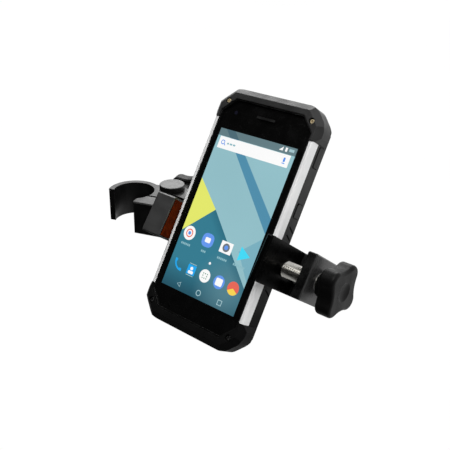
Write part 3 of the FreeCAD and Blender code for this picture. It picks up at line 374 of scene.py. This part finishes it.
FINISHES = {
    # Shell and bumpers carry painted shade that darkens them towards the handset's foot.
    "shell_plastic": surface("shell_plastic", shade(0.006), 0.38, specular=0.26, painted_foot_shade=0.1,
                             grain=(0.35, 0.02), edge=0.35, wear=shade(0.02)),
    "bumper_rubber": surface("bumper_rubber", shade(0.028), 0.42, specular=0.2, painted_foot_shade=0.15,
                             grain=(0.45, 0.03), edge=0.6, wear=shade(0.03)),
    "frame_plastic": surface("frame_plastic", shade(0.003), 0.32, specular=0.35,
                             grain=(0.3, 0.008), edge=0.2, wear=shade(0.02)),
    "trim_aluminium": surface("trim_aluminium", shade(0.88), 0.45, metallic=0.1,
                              specular=0.5, grain=(0.18, 0.008), mottle=(14.0, 0.05),
                              edge=0.35, wear=shade(0.9)),
    "block_alloy": surface("block_alloy", shade(0.036), 0.45, specular=0.5,
                           grain=(0.25, 0.012), mottle=(7.0, 0.08), edge=0.5,
                           wear=shade(0.12)),
    # Tab: painted light on its right (+X) faces, and a painted highlight round the screw's hole.
    "tab_alloy": surface("tab_alloy", shade(0.0015), 0.3, specular=0.35,
                         painted_lit_side=("X", shade(0.055)), painted_hole_glint=("clamp_screw_turn", 5.2, 5.9),
                         grain=(0.22, 0.008), edge=0.4, wear=shade(0.05)),
    "cradle_alloy": surface("cradle_alloy", shade(0.003), 0.4, specular=0.32,
                            grain=(0.22, 0.008), edge=0.4, wear=shade(0.05)),
    "jaw_alloy": surface("jaw_alloy", shade(0.0008), 0.3, specular=0.05,
                         grain=(0.22, 0.008), edge=0.4, wear=shade(0.02)),
    "pad_rubber": surface("pad_rubber", (0.085, 0.010, 0.0008), 0.7, specular=0.02,
                          grain=(0.5, 0.05), mottle=(4.0, 0.35), edge=0.3),
    "knob_plastic": surface("knob_plastic", shade(0.004), 0.4, specular=0.1,
                            grain=(0.5, 0.03), edge=0.5, wear=shade(0.02)),
    "key_rubber": surface("key_rubber", shade(0.005), 0.4, specular=0.2,
                          grain=(0.3, 0.012), edge=0.3, wear=shade(0.04)),
    "steel": brushed("steel", (0.56, 0.55, 0.53), 0.28, "x", wear=shade(0.8)),
    # Cap: painted light on its upward faces, standing in for the light from above.
    "cap_steel": surface("cap_steel", shade(0.004), 0.4, specular=0.3, grain=(0.1, 0.005),
                         mottle=(3.0, 0.1), edge=0.5, painted_lit_side=("Z", shade(0.11))),
    "black_steel": surface("black_steel", shade(0.02), 0.35, metallic=0.6,
                           grain=(0.15, 0.006), edge=0.2, wear=shade(0.2)),
    "thread_steel": brushed("thread_steel", (0.5, 0.49, 0.46), 0.3, "x", edge=0.05),
    "brass": surface("brass", (0.62, 0.52, 0.33), 0.4, metallic=0.6, grain=(0.1, 0.004),
                     edge=0.15),
    "circuit_board": surface("circuit_board", (0.02, 0.12, 0.05), 0.35, grain=(0.6, 0.02),
                             mottle=(5.0, 0.4), edge=0.1),
    "battery_film": surface("battery_film", (0.05, 0.055, 0.07), 0.3, grain=(2.0, 0.02),
                            edge=0.4),
    "foam": surface("foam", shade(0.02), 0.85, specular=0.2, grain=(0.4, 0.08), edge=0.2),
    "glass": clear_glass("glass"),
    "lens": lens_glass("lens", (0.006, 0.008, 0.014)),
    "flash": surface("flash", (0.75, 0.72, 0.5), 0.2, grain=(0.5, 0.05), coat=0.8),
    "mask": surface("mask", shade(0.002), 0.25, specular=0.15, grain=(0.2, 0.001), edge=0.05),
}

NODE_FINISH = {
    "front_frame": "frame_plastic", "cover_glass": "glass", "earpiece_mesh": "black_steel",
    "earpiece_receiver": "shell_plastic", "front_camera": "lens", "housing_gasket": "foam",
    "rear_housing": "shell_plastic", "left_trim": "trim_aluminium",
    "right_trim": "trim_aluminium", "top_bumper": "bumper_rubber",
    "bottom_bumper": "bumper_rubber", "corner_screws": "black_steel",
    "battery": "battery_film", "battery_door": "shell_plastic",
    "battery_door_screws": "black_steel", "main_board": "circuit_board",
    "loudspeaker": "shell_plastic", "charging_connector": "steel",
    "port_cover": "key_rubber", "port_cover_pin": "steel", "volume_rocker": "key_rubber",
    "power_button": "key_rubber", "key_switch_strip": "shell_plastic",
    "rear_camera_window": "lens", "rear_camera": "shell_plastic", "flash_lens": "flash",
    "cradle_rail": "cradle_alloy", "fixed_jaw": "block_alloy",
    "fixed_jaw_pad": "pad_rubber", "fixed_jaw_screws": "black_steel",
    "end_tab": "tab_alloy", "end_tab_screws": "black_steel",
    "sliding_jaw": "jaw_alloy", "sliding_jaw_pad": "pad_rubber",
    "jaw_keeper": "black_steel", "jaw_keeper_screw": "black_steel",
    "screw_retaining_ring": "steel", "clamp_knob": "knob_plastic",
    "pivot_arm": "cradle_alloy", "tilt_bolt": "black_steel", "tilt_nut": "steel",
    "tilt_washers": "steel", "pole_clamp_body": "cradle_alloy",
    "swing_pivot_bolts": "cap_steel", "guide_pins": "steel",
    "pole_clamp_jaw": "cradle_alloy", "pinch_screw_ring": "steel",
    "pinch_knob": "knob_plastic",
}


def paint(piece, finish):
    piece.data.materials.clear()
    piece.data.materials.append(FINISHES[finish])


# ---------------------------------------------------------------- mesh helpers

def mesh_piece(name, builder, body, place=None):
    """New piece from a bmesh that `builder` fills, in the frame `place`, riding on a body."""
    shape = bmesh.new()
    builder(shape)
    bmesh.ops.recalc_face_normals(shape, faces=shape.faces)
    if place is not None:
        bmesh.ops.transform(shape, matrix=place, verts=shape.verts)
    data = bpy.data.meshes.new(name)
    shape.to_mesh(data)
    shape.free()
    piece = bpy.data.objects.new(name, data)
    bpy.context.scene.collection.objects.link(piece)
    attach(piece, body)
    return piece


def prism(shape, outline, low, high, material=0):
    """Closed prism over a polygon given in millimetres."""
    bottom = [shape.verts.new((x * MM, y * MM, low * MM)) for x, y in outline]
    top = [shape.verts.new((x * MM, y * MM, high * MM)) for x, y in outline]
    count = len(outline)
    faces = [shape.faces.new(bottom[::-1]), shape.faces.new(top)]
    for index in range(count):
        after = (index + 1) % count
        faces.append(shape.faces.new((bottom[index], bottom[after], top[after], top[index])))
    for face in faces:
        face.material_index = material


def block(left, right, low, high):
    return [(left, low), (right, low), (right, high), (left, high)]


def disc(x, y, radius, count=24, start=0.0):
    turns = [start + 2 * math.pi * index / count for index in range(count)]
    return [(x + radius * math.cos(turn), y + radius * math.sin(turn)) for turn in turns]


def soft_block(x, y, half_x, half_y, corner, steps=4):
    """Rectangle with rounded corners, as a list of points."""
    points = []
    corners = ((1, 1, 0), (-1, 1, 90), (-1, -1, 180), (1, -1, 270))
    for x_sign, y_sign, start in corners:
        centre = (x + x_sign * (half_x - corner), y + y_sign * (half_y - corner))
        for step in range(steps + 1):
            turn = math.radians(start + 90 * step / steps)
            points.append((centre[0] + corner * math.cos(turn),
                           centre[1] + corner * math.sin(turn)))
    return points


def smooth(piece, angle=30):
    for polygon in piece.data.polygons:
        polygon.use_smooth = True
    piece.data.set_sharp_from_angle(angle=math.radians(angle))


# ---------------------------------------------------------------- display

SCREEN_HALF_X = 31.13
SCREEN_HALF_Y = 55.35
SCREEN_SHIFT = -1.5
SCREEN_GLOW = 1.1
TILE_STEP = 0.0004

SCREEN_TONES = {
    "wallpaper": ((0.290, 0.520, 0.575), 0.05),
    "wallpaper_low": ((0.195, 0.430, 0.520), 0.05),
    "band": ((0.082, 0.268, 0.405), 0.03),
    "yellow": ((0.76, 0.80, 0.15), 0.03),
    "deep": ((0.042, 0.215, 0.300), 0.1),
    "status": ((0.130, 0.210, 0.235), 0.12),
    "status_band": ((0.075, 0.145, 0.180), 0.03),
    "white": ((0.94, 0.94, 0.94), 0.01),
    "periwinkle": ((0.13, 0.31, 0.83), 0.03),
    "blue": ((0.09, 0.28, 0.8), 0.03),
    "sky": ((0.02, 0.38, 0.84), 0.03),
    "cyan": ((0.06, 0.68, 0.90), 0.03),
    "red": ((0.80, 0.14, 0.10), 0.03),
    "green": ((0.05, 0.24, 0.14), 0.03),
    "amber": ((0.93, 0.66, 0.09), 0.03),
    "grey": ((0.16, 0.18, 0.2), 0.03),
    "caption": ((0.27, 0.50, 0.56), 0.1),
    "key_line": ((0.36, 0.55, 0.60), 0.03),
}

APP_COLUMNS = (-24.1, -8.0, 7.6, 21.6)
APP_ROW = -17.7
CAPTION_ROW = -25.4
DOCK_COLUMNS = (-23.2, -11.9, -0.1, 11.9, 23.5)
DOCK_ROW = -39.6
KEY_COLUMNS = (-16.9, 0.0, 17.8)
KEY_ROW = -51.3


def screen_picture():
    """Flat regions of the home screen, painted one over another, each a name and an outline."""
    left, right = -SCREEN_HALF_X, SCREEN_HALF_X
    low, high = -SCREEN_HALF_Y, SCREEN_HALF_Y
    bar = high - 5.0
    layers = [
        ("wallpaper", block(left, right, low, high)),
        ("wallpaper_low", [(right, -4.0), (17.5, -17.0), (right, -33.0)]),
        ("band", [(-21.2, bar), (-13.6, bar), (right, 9.0), (right, -1.0)]),
        ("yellow", [(left, 19.6), (-11.0, 2.7), (left, -17.5)]),
        ("deep", [(left, -17.5), (-11.0, 2.7), (right, -37.0), (right, low), (left, low)]),
        ("status", block(left, right, bar, high)),
        ("status_band", [(-26.2, high), (-18.8, high), (-13.6, bar), (-21.2, bar)]),
        ("white", block(-28.9, 28.3, 42.0, 50.1)),
    ]
    layers += search_marks()
    layers += status_icons(high - 2.2)
    layers += app_icons()
    layers += dock_icons()
    layers += navigation_keys()
    return layers


def search_marks():
    """Lens, placeholder dashes and a microphone inside the search field."""
    marks = [("blue", disc(-25.4, 46.4, 1.6)), ("white", disc(-25.4, 46.4, 1.05))]
    marks.append(("blue", [(-24.5, 45.6), (-24.1, 46.0), (-22.9, 44.7), (-23.3, 44.3)]))
    for start, stop in ((-21.9, -20.2), (-19.6, -17.4), (-16.8, -14.9)):
        dash = soft_block((start + stop) / 2, 46.2, (stop - start) / 2, 0.6, 0.5)
        marks.append(("caption", dash))
    marks.append(("blue", soft_block(24.5, 46.6, 0.75, 1.5, 0.7)))
    marks.append(("blue", soft_block(24.5, 44.3, 1.1, 0.3, 0.25)))
    return marks


def status_icons(y):
    icons = [("white", [(18.0, y - 1.3), (20.9, y - 1.3), (20.9, y + 1.4)])]
    icons.append(("white", block(22.6, 24.2, y - 1.4, y + 1.2)))
    icons.append(("key_line", soft_block(27.4, y, 1.9, 0.9, 0.3)))
    return icons


def caption(x, width):
    """Unreadable dashes where an icon's caption would be."""
    dashes = []
    start = x - width / 2
    while start < x + width / 2 - 0.4:
        dashes.append(("caption", soft_block(start + 0.5, CAPTION_ROW, 0.5, 0.75, 0.3)))
        start += 1.35
    return dashes


def app_icons():
    """Row of four icons: a target, a chat disc, a camera card and a play mark."""
    target, chat, camera, play = APP_COLUMNS
    y = APP_ROW
    icons = [("white", disc(target, y, 4.8, 32)), ("red", disc(target, y, 2.9, 28)),
             ("white", disc(target, y, 2.1, 28)), ("blue", disc(target, y, 1.2))]
    icons.append(("periwinkle", soft_block(chat, y, 4.8, 4.6, 3.6)))
    icons.append(("white", soft_block(chat, y + 0.1, 2.2, 1.7, 0.7)))
    icons.append(("white", soft_block(camera, y, 4.7, 3.8, 0.4)))
    icons.append(("grey", disc(camera, y, 2.8, 28)))
    icons.append(("periwinkle", disc(camera, y, 1.5)))
    left, right = play - 3.1, play + 5.4
    icons.append(("cyan", [(left, y + 4.5), (left, y - 4.8), (right, y - 0.3)]))
    for x, width in zip(APP_COLUMNS, (7.5, 4.4, 8.0, 9.5)):
        icons += caption(x, width)
    icons.append(("white", disc(0.1, -30.9, 0.9, 12)))
    return icons


def receiver_outline(x, y):
    """Curved telephone receiver."""
    hub_x, hub_y, radius = x + 2.9, y + 3.2, 6.3
    outer, inner = [], []
    for step in range(13):
        share = step / 12
        turn = math.radians(176 + 98 * share)
        bulge = 1.25 if share < 0.25 or share > 0.75 else 0.55
        outer.append((hub_x + (radius + 0.6) * math.cos(turn),
                      hub_y + (radius + 0.6) * math.sin(turn)))
        inner.append((hub_x + (radius - bulge) * math.cos(turn),
                      hub_y + (radius - bulge) * math.sin(turn)))
    return outer + inner[::-1]


def dock_icons():
    """Dock of five: receiver, contact card, app drawer, message disc and a pie chart."""
    phone, card, drawer, message, chart = DOCK_COLUMNS
    y = DOCK_ROW
    icons = [("sky", receiver_outline(phone, y))]
    icons.append(("sky", block(card - 3.4, card + 3.4, y - 3.2, y + 3.2)))
    for edge in (-4.1, 3.7):
        icons.append(("key_line", block(card - 3.0, card + 3.0, y + edge, y + edge + 0.4)))
    icons.append(("white", disc(card, y + 0.9, 1.15, 16)))
    icons.append(("white", soft_block(card, y - 1.7, 2.1, 1.0, 0.7)))
    icons.append(("white", disc(drawer, y, 4.3, 32)))
    for row in (-1, 0, 1):
        for column in (-1, 0, 1):
            if row or column:
                spot = disc(drawer + 1.6 * column, y + 1.5 * row, 0.42, 10)
                icons.append(("green", spot))
    icons.append(("periwinkle", disc(message, y, 4.4, 32)))
    icons.append(("white", soft_block(message, y, 2.7, 2.5, 0.9)))
    icons.append(("red", disc(chart, y, 4.4, 32)))
    slice_edge = [(chart + 4.4 * math.cos(turn), y + 4.4 * math.sin(turn))
                  for turn in [math.radians(210 + 120 * step / 12) for step in range(13)]]
    icons.append(("amber", [(chart, y)] + slice_edge))
    return icons


def navigation_keys():
    """Back, home and recent keys drawn as thin outlines."""
    back, home, recent = KEY_COLUMNS
    keys = []
    for tone, radius in (("key_line", 2.0), ("deep", 1.45)):
        keys.append((tone, disc(back, KEY_ROW, radius, 3, math.pi)))
        keys.append((tone, disc(home, KEY_ROW, radius, 24)))
        keys.append((tone, soft_block(recent, KEY_ROW, radius * 0.9, radius * 0.9, 0.3)))
    return keys


def deep_panel(name, color):
    """Lower part of the wallpaper: shaded along its slanting edge, lighter to the lower right."""
    graph = Graph(name)
    across, up = screen_point(graph)
    inward = graph.math("ADD", graph.math("MULTIPLY", across, -0.686),
                        graph.math("MULTIPLY", up, -0.727))
    inward = graph.math("ADD", inward, -6.7)
    edge = graph.span(inward, 0.0, 6.0, 0.62, 1.0)
    glow_x = graph.math("SUBTRACT", across, 17.0)
    glow_y = graph.math("SUBTRACT", up, -42.0)
    reach = graph.math("SQRT", graph.math("ADD", graph.math("MULTIPLY", glow_x, glow_x),
                                          graph.math("MULTIPLY", glow_y, glow_y)))
    glow = graph.span(reach, 26.0, 4.0, 0.0, 0.85)
    foot = graph.span(up, -36.0, -54.0, 0.0, 0.9)
    tone = graph.mix(foot, color, (0.020, 0.085, 0.125))
    tone = graph.mix(glow, tone, (0.105, 0.245, 0.300))
    tone = graph.mix(edge, (0.015, 0.090, 0.140), tone)
    tone = graph.mix(graph.span(graph.noise(0.12, 1.0), 0.2, 0.8, 0.0, 0.06), tone, (0, 0, 0))
    emission = graph.add("ShaderNodeEmission")
    graph.put(emission.inputs["Color"], tone)
    graph.link(emission.outputs[0], graph.output.inputs["Surface"])
    return graph.material


def build_display():
    """Display panel: a slab whose face carries the home screen in hair-thin tiles."""
    low, high = in_handset("display_module")
    low, high = low / MM, high / MM
    names = list(SCREEN_TONES)
    layers = screen_picture()

    def fill(shape):
        prism(shape, block(low.x, high.x, low.y, high.y), low.z, high.z, len(names))
        for order, (tone, outline) in enumerate(layers):
            top = high.z + 0.01 + TILE_STEP * order
            shifted = [(x + SCREEN_SHIFT, y) for x, y in outline]
            prism(shape, shifted, high.z, top, names.index(tone))

    panel = mesh_piece("display_panel", fill, "handset", HANDSET)
    for tone, (color, sheen) in SCREEN_TONES.items():
        maker = deep_panel if tone == "deep" else lit_panel
        extra = () if tone == "deep" else (SCREEN_GLOW, sheen)
        panel.data.materials.append(maker("screen_" + tone, color, *extra))
    panel.data.materials.append(FINISHES["mask"])
    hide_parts("display_module")


def build_mask():
    """Black border printed on the back of the glass."""
    low, high = in_handset("cover_glass")
    low, high = low / MM, high / MM
    corner = 8.9
    outer = [
        (high.x, low.y + corner), (high.x, high.y - corner), (high.x - corner, high.y),
        (low.x + corner, high.y), (low.x, high.y - corner), (low.x, low.y + corner),
        (low.x + corner, low.y), (high.x - corner, low.y),
    ]
    inner = block(SCREEN_SHIFT - SCREEN_HALF_X, SCREEN_SHIFT + SCREEN_HALF_X,
                  -SCREEN_HALF_Y, SCREEN_HALF_Y)
    levels = (low.z - 0.035, low.z - 0.01)
    camera = sum(in_handset("front_camera"), Vector()) / 2 / MM

    def fill(shape):
        rings = []
        for level in levels:
            outside = [shape.verts.new((x * MM, y * MM, level * MM)) for x, y in outer]
            inside = [shape.verts.new((x * MM, y * MM, level * MM)) for x, y in inner]
            rings.append((outside, inside))
        match = (1, 2, 2, 3, 3, 0, 0, 1)
        for outside, inside in rings:
            for index in range(8):
                after = (index + 1) % 8
                a, b = match[index], match[after]
                corners = [outside[index], outside[after], inside[b]]
                if a != b:
                    corners.append(inside[a])
                shape.faces.new(corners)
        for which, count in ((0, 8), (1, 4)):
            for index in range(count):
                after = (index + 1) % count
                shape.faces.new((rings[0][which][index], rings[0][which][after],
                                 rings[1][which][after], rings[1][which][index]))

        for face in shape.faces:
            face.material_index = 0
        prism(shape, disc(camera.x, camera.y, 1.3), low.z - 0.04, low.z - 0.005, 1)

    mask = mesh_piece("glass_border", fill, "handset", HANDSET)
    mask.data.materials.append(FINISHES["mask"])
    mask.data.materials.append(FINISHES["lens"])


# ---------------------------------------------------------------- screws with real threads

CLAMP_PITCH = 1.5
PINCH_PITCH = 1.25

def threaded_rod(shape, sections, radius, pitch, depth, sides=48, per_turn=8):
    """Rod along z from plain and threaded sections: (start, end, radius or None for thread)."""
    profile = []
    for start, stop, plain in sections:
        if plain is not None:
            profile += [(start, plain), (stop, plain)]
            continue
        count = max(2, int((stop - start) / pitch * per_turn))
        profile += [(start + (stop - start) * index / count, None) for index in range(count + 1)]
    rings = []
    for height, plain in profile:
        ring = []
        for side in range(sides):
            turn = 2 * math.pi * side / sides
            if plain is None:
                phase = (height / pitch - side / sides) % 1.0
                flank = abs(2 * phase - 1)
                crest = min(1.0, max(0.0, flank * 1.25 - 0.125))
                reach = radius - depth * (1 - crest)
            else:
                reach = plain
            ring.append(shape.verts.new((reach * math.cos(turn) * MM,
                                         reach * math.sin(turn) * MM, height * MM)))
        rings.append(ring)
    for lower, upper in zip(rings, rings[1:]):
        for side in range(sides):
            after = (side + 1) % sides
            shape.faces.new((lower[side], lower[after], upper[after], upper[side]))
    shape.faces.new(rings[0][::-1])
    shape.faces.new(rings[-1])


def turned(shape, x, y, profile, material=0, sides=28):
    """Turned part along z: rings of the profile's (radius, height) points, closed at both ends."""
    rings = []
    for radius, height in profile:
        outline = disc(x, y, radius, sides)
        rings.append([shape.verts.new((u * MM, v * MM, height * MM)) for u, v in outline])
    faces = [shape.faces.new(rings[0][::-1]), shape.faces.new(rings[-1])]
    for lower, upper in zip(rings, rings[1:]):
        for side in range(sides):
            after = (side + 1) % sides
            faces.append(shape.faces.new((lower[side], lower[after],
                                          upper[after], upper[side])))
    for face in faces:
        face.material_index = material


def build_corner_screws():
    """Four small socket screws sunk in the bumpers."""
    low, high = in_handset("corner_screws")
    low, high = low / MM, high / MM
    head_radius = 1.5
    top = high.z
    profile = [
        (1.1, low.z), (1.1, top - 1.5), (head_radius, top - 1.5), (head_radius, top - 0.2),
        (1.3, top),
        (0.8, top), (0.75, top - 0.1), (0.7, top - 0.9),
    ]

    def fill(shape):
        # Painted shade: the lower pair gets black steel in place of brass, standing in for the
        # shade they sit in; the four screws are alike.
        for x in (low.x + head_radius, high.x - head_radius):
            for place, y in enumerate((high.y - head_radius, low.y + head_radius)):
                turned(shape, x, y, profile, place)

    screws = mesh_piece("corner_socket_screws", fill, "handset", HANDSET)
    screws.data.materials.append(FINISHES["brass"])
    screws.data.materials.append(FINISHES["black_steel"])
    smooth(screws, 30)
    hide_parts("corner_screws")


def along_joint(node, matrix):
    """Start and end of a node along a joint's axis, in millimetres."""
    inverse = matrix.inverted()
    heights = [(inverse @ vertex.co).z for vertex in NODES[node].data.vertices]
    return min(heights) / MM, max(heights) / MM


def widest(node, matrix):
    """Largest distance of a node's surface from a joint's axis, in millimetres."""
    inverse = matrix.inverted()
    return max((inverse @ vertex.co).xy.length for vertex in NODES[node].data.vertices) / MM


def build_clamp_screw():
    place = joint_matrix("clamp_screw_turn", Vector((0, 0, 1)))
    start, stop = along_joint("clamp_screw", place)
    ring_low, ring_high = along_joint("screw_retaining_ring", place)
    hub = along_joint("clamp_knob", place)[0]
    groove = (ring_low - 0.05, ring_high + 0.05)
    shoulder = start + 2.75
    radius = widest("clamp_screw", place)

    def fill(shape):
        sections = [
            (start, groove[0], 3.5), (groove[0], groove[1], 2.8), (groove[1], shoulder, 3.5),
            (shoulder, shoulder + 0.4, radius - 0.8), (shoulder + 0.5, hub - 0.4, None),
            (hub - 0.1, stop, 4.0),
        ]
        threaded_rod(shape, sections, radius, CLAMP_PITCH, 0.85)

    screw = mesh_piece("clamp_screw_threaded", fill, "clamp_screw", place)
    screw.data.materials.append(FINISHES["thread_steel"])
    smooth(screw, 25)
    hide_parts("clamp_screw")


def build_pinch_screw():
    place = joint_matrix("pinch_screw_turn", Vector((0, 0, 1)))
    start, stop = along_joint("pinch_screw", place)
    ring_low, ring_high = along_joint("pinch_screw_ring", place)
    groove = (ring_low - 0.05, ring_high + 0.05)

    def fill(shape):
        sections = [
            (start, start + 0.4, 3.4), (start + 0.5, groove[0] - 0.1, None),
            (groove[0], groove[1], 3.2), (groove[1] + 0.1, stop, 4.0),
        ]
        threaded_rod(shape, sections, 4.0, PINCH_PITCH, 0.7)

    screw = mesh_piece("pinch_screw_threaded", fill, "pinch_screw", place)
    screw.data.materials.append(FINISHES["thread_steel"])
    smooth(screw, 25)
    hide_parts("pinch_screw")


# ---------------------------------------------------------------- floor, light and camera

FLOOR_HALF = 9.0
FLOOR_DROP = 0.22


def build_stage():
    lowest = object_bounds()[0].z
    data = bpy.data.meshes.new("floor")
    shape = bmesh.new()
    bmesh.ops.create_grid(shape, x_segments=8, y_segments=8, size=FLOOR_HALF)
    shape.to_mesh(data)
    shape.free()
    floor = bpy.data.objects.new("floor", data)
    floor.location = (0, 0, lowest - FLOOR_DROP)
    bpy.context.scene.collection.objects.link(floor)
    data.materials.append(floor_paint())


def floor_paint():
    """Pale floor: even white to the camera, and as a light source dark in front, bright behind."""
    graph = Graph("floor_paint")
    place = graph.add("ShaderNodeSeparateXYZ")
    graph.link(graph.add("ShaderNodeNewGeometry").outputs["Position"], place.inputs[0])
    depth = graph.math("ADD", place.outputs["Y"],
                       graph.math("MULTIPLY", place.outputs["X"], 0.45))
    glow = graph.span(depth, -0.25, 0.35, 0.015, 1.0)
    pale = graph.span(graph.noise(400.0, 2.0), 0.3, 0.7, 1.0, 1.02)
    rays = graph.add("ShaderNodeLightPath")
    tone = graph.mix(rays.outputs["Is Camera Ray"], glow, pale)
    emission = graph.add("ShaderNodeEmission")
    graph.put(emission.inputs["Color"], tone)
    graph.link(emission.outputs[0], graph.output.inputs["Surface"])
    return graph.material


def area_light(name, position, target, size, power):
    lamp = bpy.data.lights.new(name, "AREA")
    lamp.shape = "RECTANGLE"
    lamp.size, lamp.size_y = size
    lamp.energy = power
    holder = bpy.data.objects.new(name, lamp)
    holder.location = position
    direction = Vector(target) - Vector(position)
    holder.rotation_euler = direction.to_track_quat("-Z", "Y").to_euler()
    bpy.context.scene.collection.objects.link(holder)


def build_lights(centre):
    """A bright surround behind and above, a dim one in front, and two soft boxes."""
    world = bpy.data.worlds.new("studio")
    bpy.context.scene.world = world
    world.use_nodes = True
    tree = world.node_tree
    tree.nodes.clear()
    output = tree.nodes.new("ShaderNodeOutputWorld")
    background = tree.nodes.new("ShaderNodeBackground")
    tree.links.new(background.outputs[0], output.inputs[0])
    coordinates = tree.nodes.new("ShaderNodeTexCoord")
    facing = tree.nodes.new("ShaderNodeVectorMath")
    facing.operation = "DOT_PRODUCT"
    facing.inputs[1].default_value = (0.35, 0.9, 0.25)
    tree.links.new(coordinates.outputs["Generated"], facing.inputs[0])
    ramp = tree.nodes.new("ShaderNodeMapRange")
    ramp.inputs["From Min"].default_value = -0.1
    ramp.inputs["From Max"].default_value = 0.5
    ramp.inputs["To Min"].default_value = 0.015
    ramp.inputs["To Max"].default_value = 1.3
    tree.links.new(facing.outputs["Value"], ramp.inputs["Value"])
    rays = tree.nodes.new("ShaderNodeLightPath")
    choose = tree.nodes.new("ShaderNodeMix")
    choose.data_type = "FLOAT"
    tree.links.new(rays.outputs["Is Camera Ray"], choose.inputs[0])
    tree.links.new(ramp.outputs["Result"], choose.inputs[2])
    choose.inputs[3].default_value = 1.0
    tree.links.new(choose.outputs[0], background.inputs["Strength"])
    area_light("top_box", centre + Vector((0.15, -0.55, 1.15)), centre, (1.0, 1.0), 14)
    area_light("back_box", centre + Vector((-0.85, 0.9, 0.9)), centre, (1.2, 0.9), 14)


CAMERA_FROM_SCREEN = Vector((0.263718, -0.314703, 0.195498))
CAMERA_TURN = (64.004, -0.764, 40.534)
LENS_MM = 57.04


def build_camera():
    data = bpy.data.cameras.new("camera")
    data.lens = LENS_MM
    data.sensor_width = 36.0
    data.clip_start = 0.01
    camera = bpy.data.objects.new("camera", data)
    camera.location = HANDSET.translation + CAMERA_FROM_SCREEN
    camera.rotation_euler = [math.radians(angle) for angle in CAMERA_TURN]
    bpy.context.scene.collection.objects.link(camera)
    bpy.context.scene.camera = camera


# ---------------------------------------------------------------- build

for node_name, finish_name in NODE_FINISH.items():
    paint(NODES[node_name], finish_name)
build_display()
build_mask()
build_corner_screws()
build_clamp_screw()
build_pinch_screw()
build_stage()
build_lights((cad_box[0] + cad_box[1]) / 2)
build_camera()
bpy.context.scene.view_settings.view_transform = "Standard"
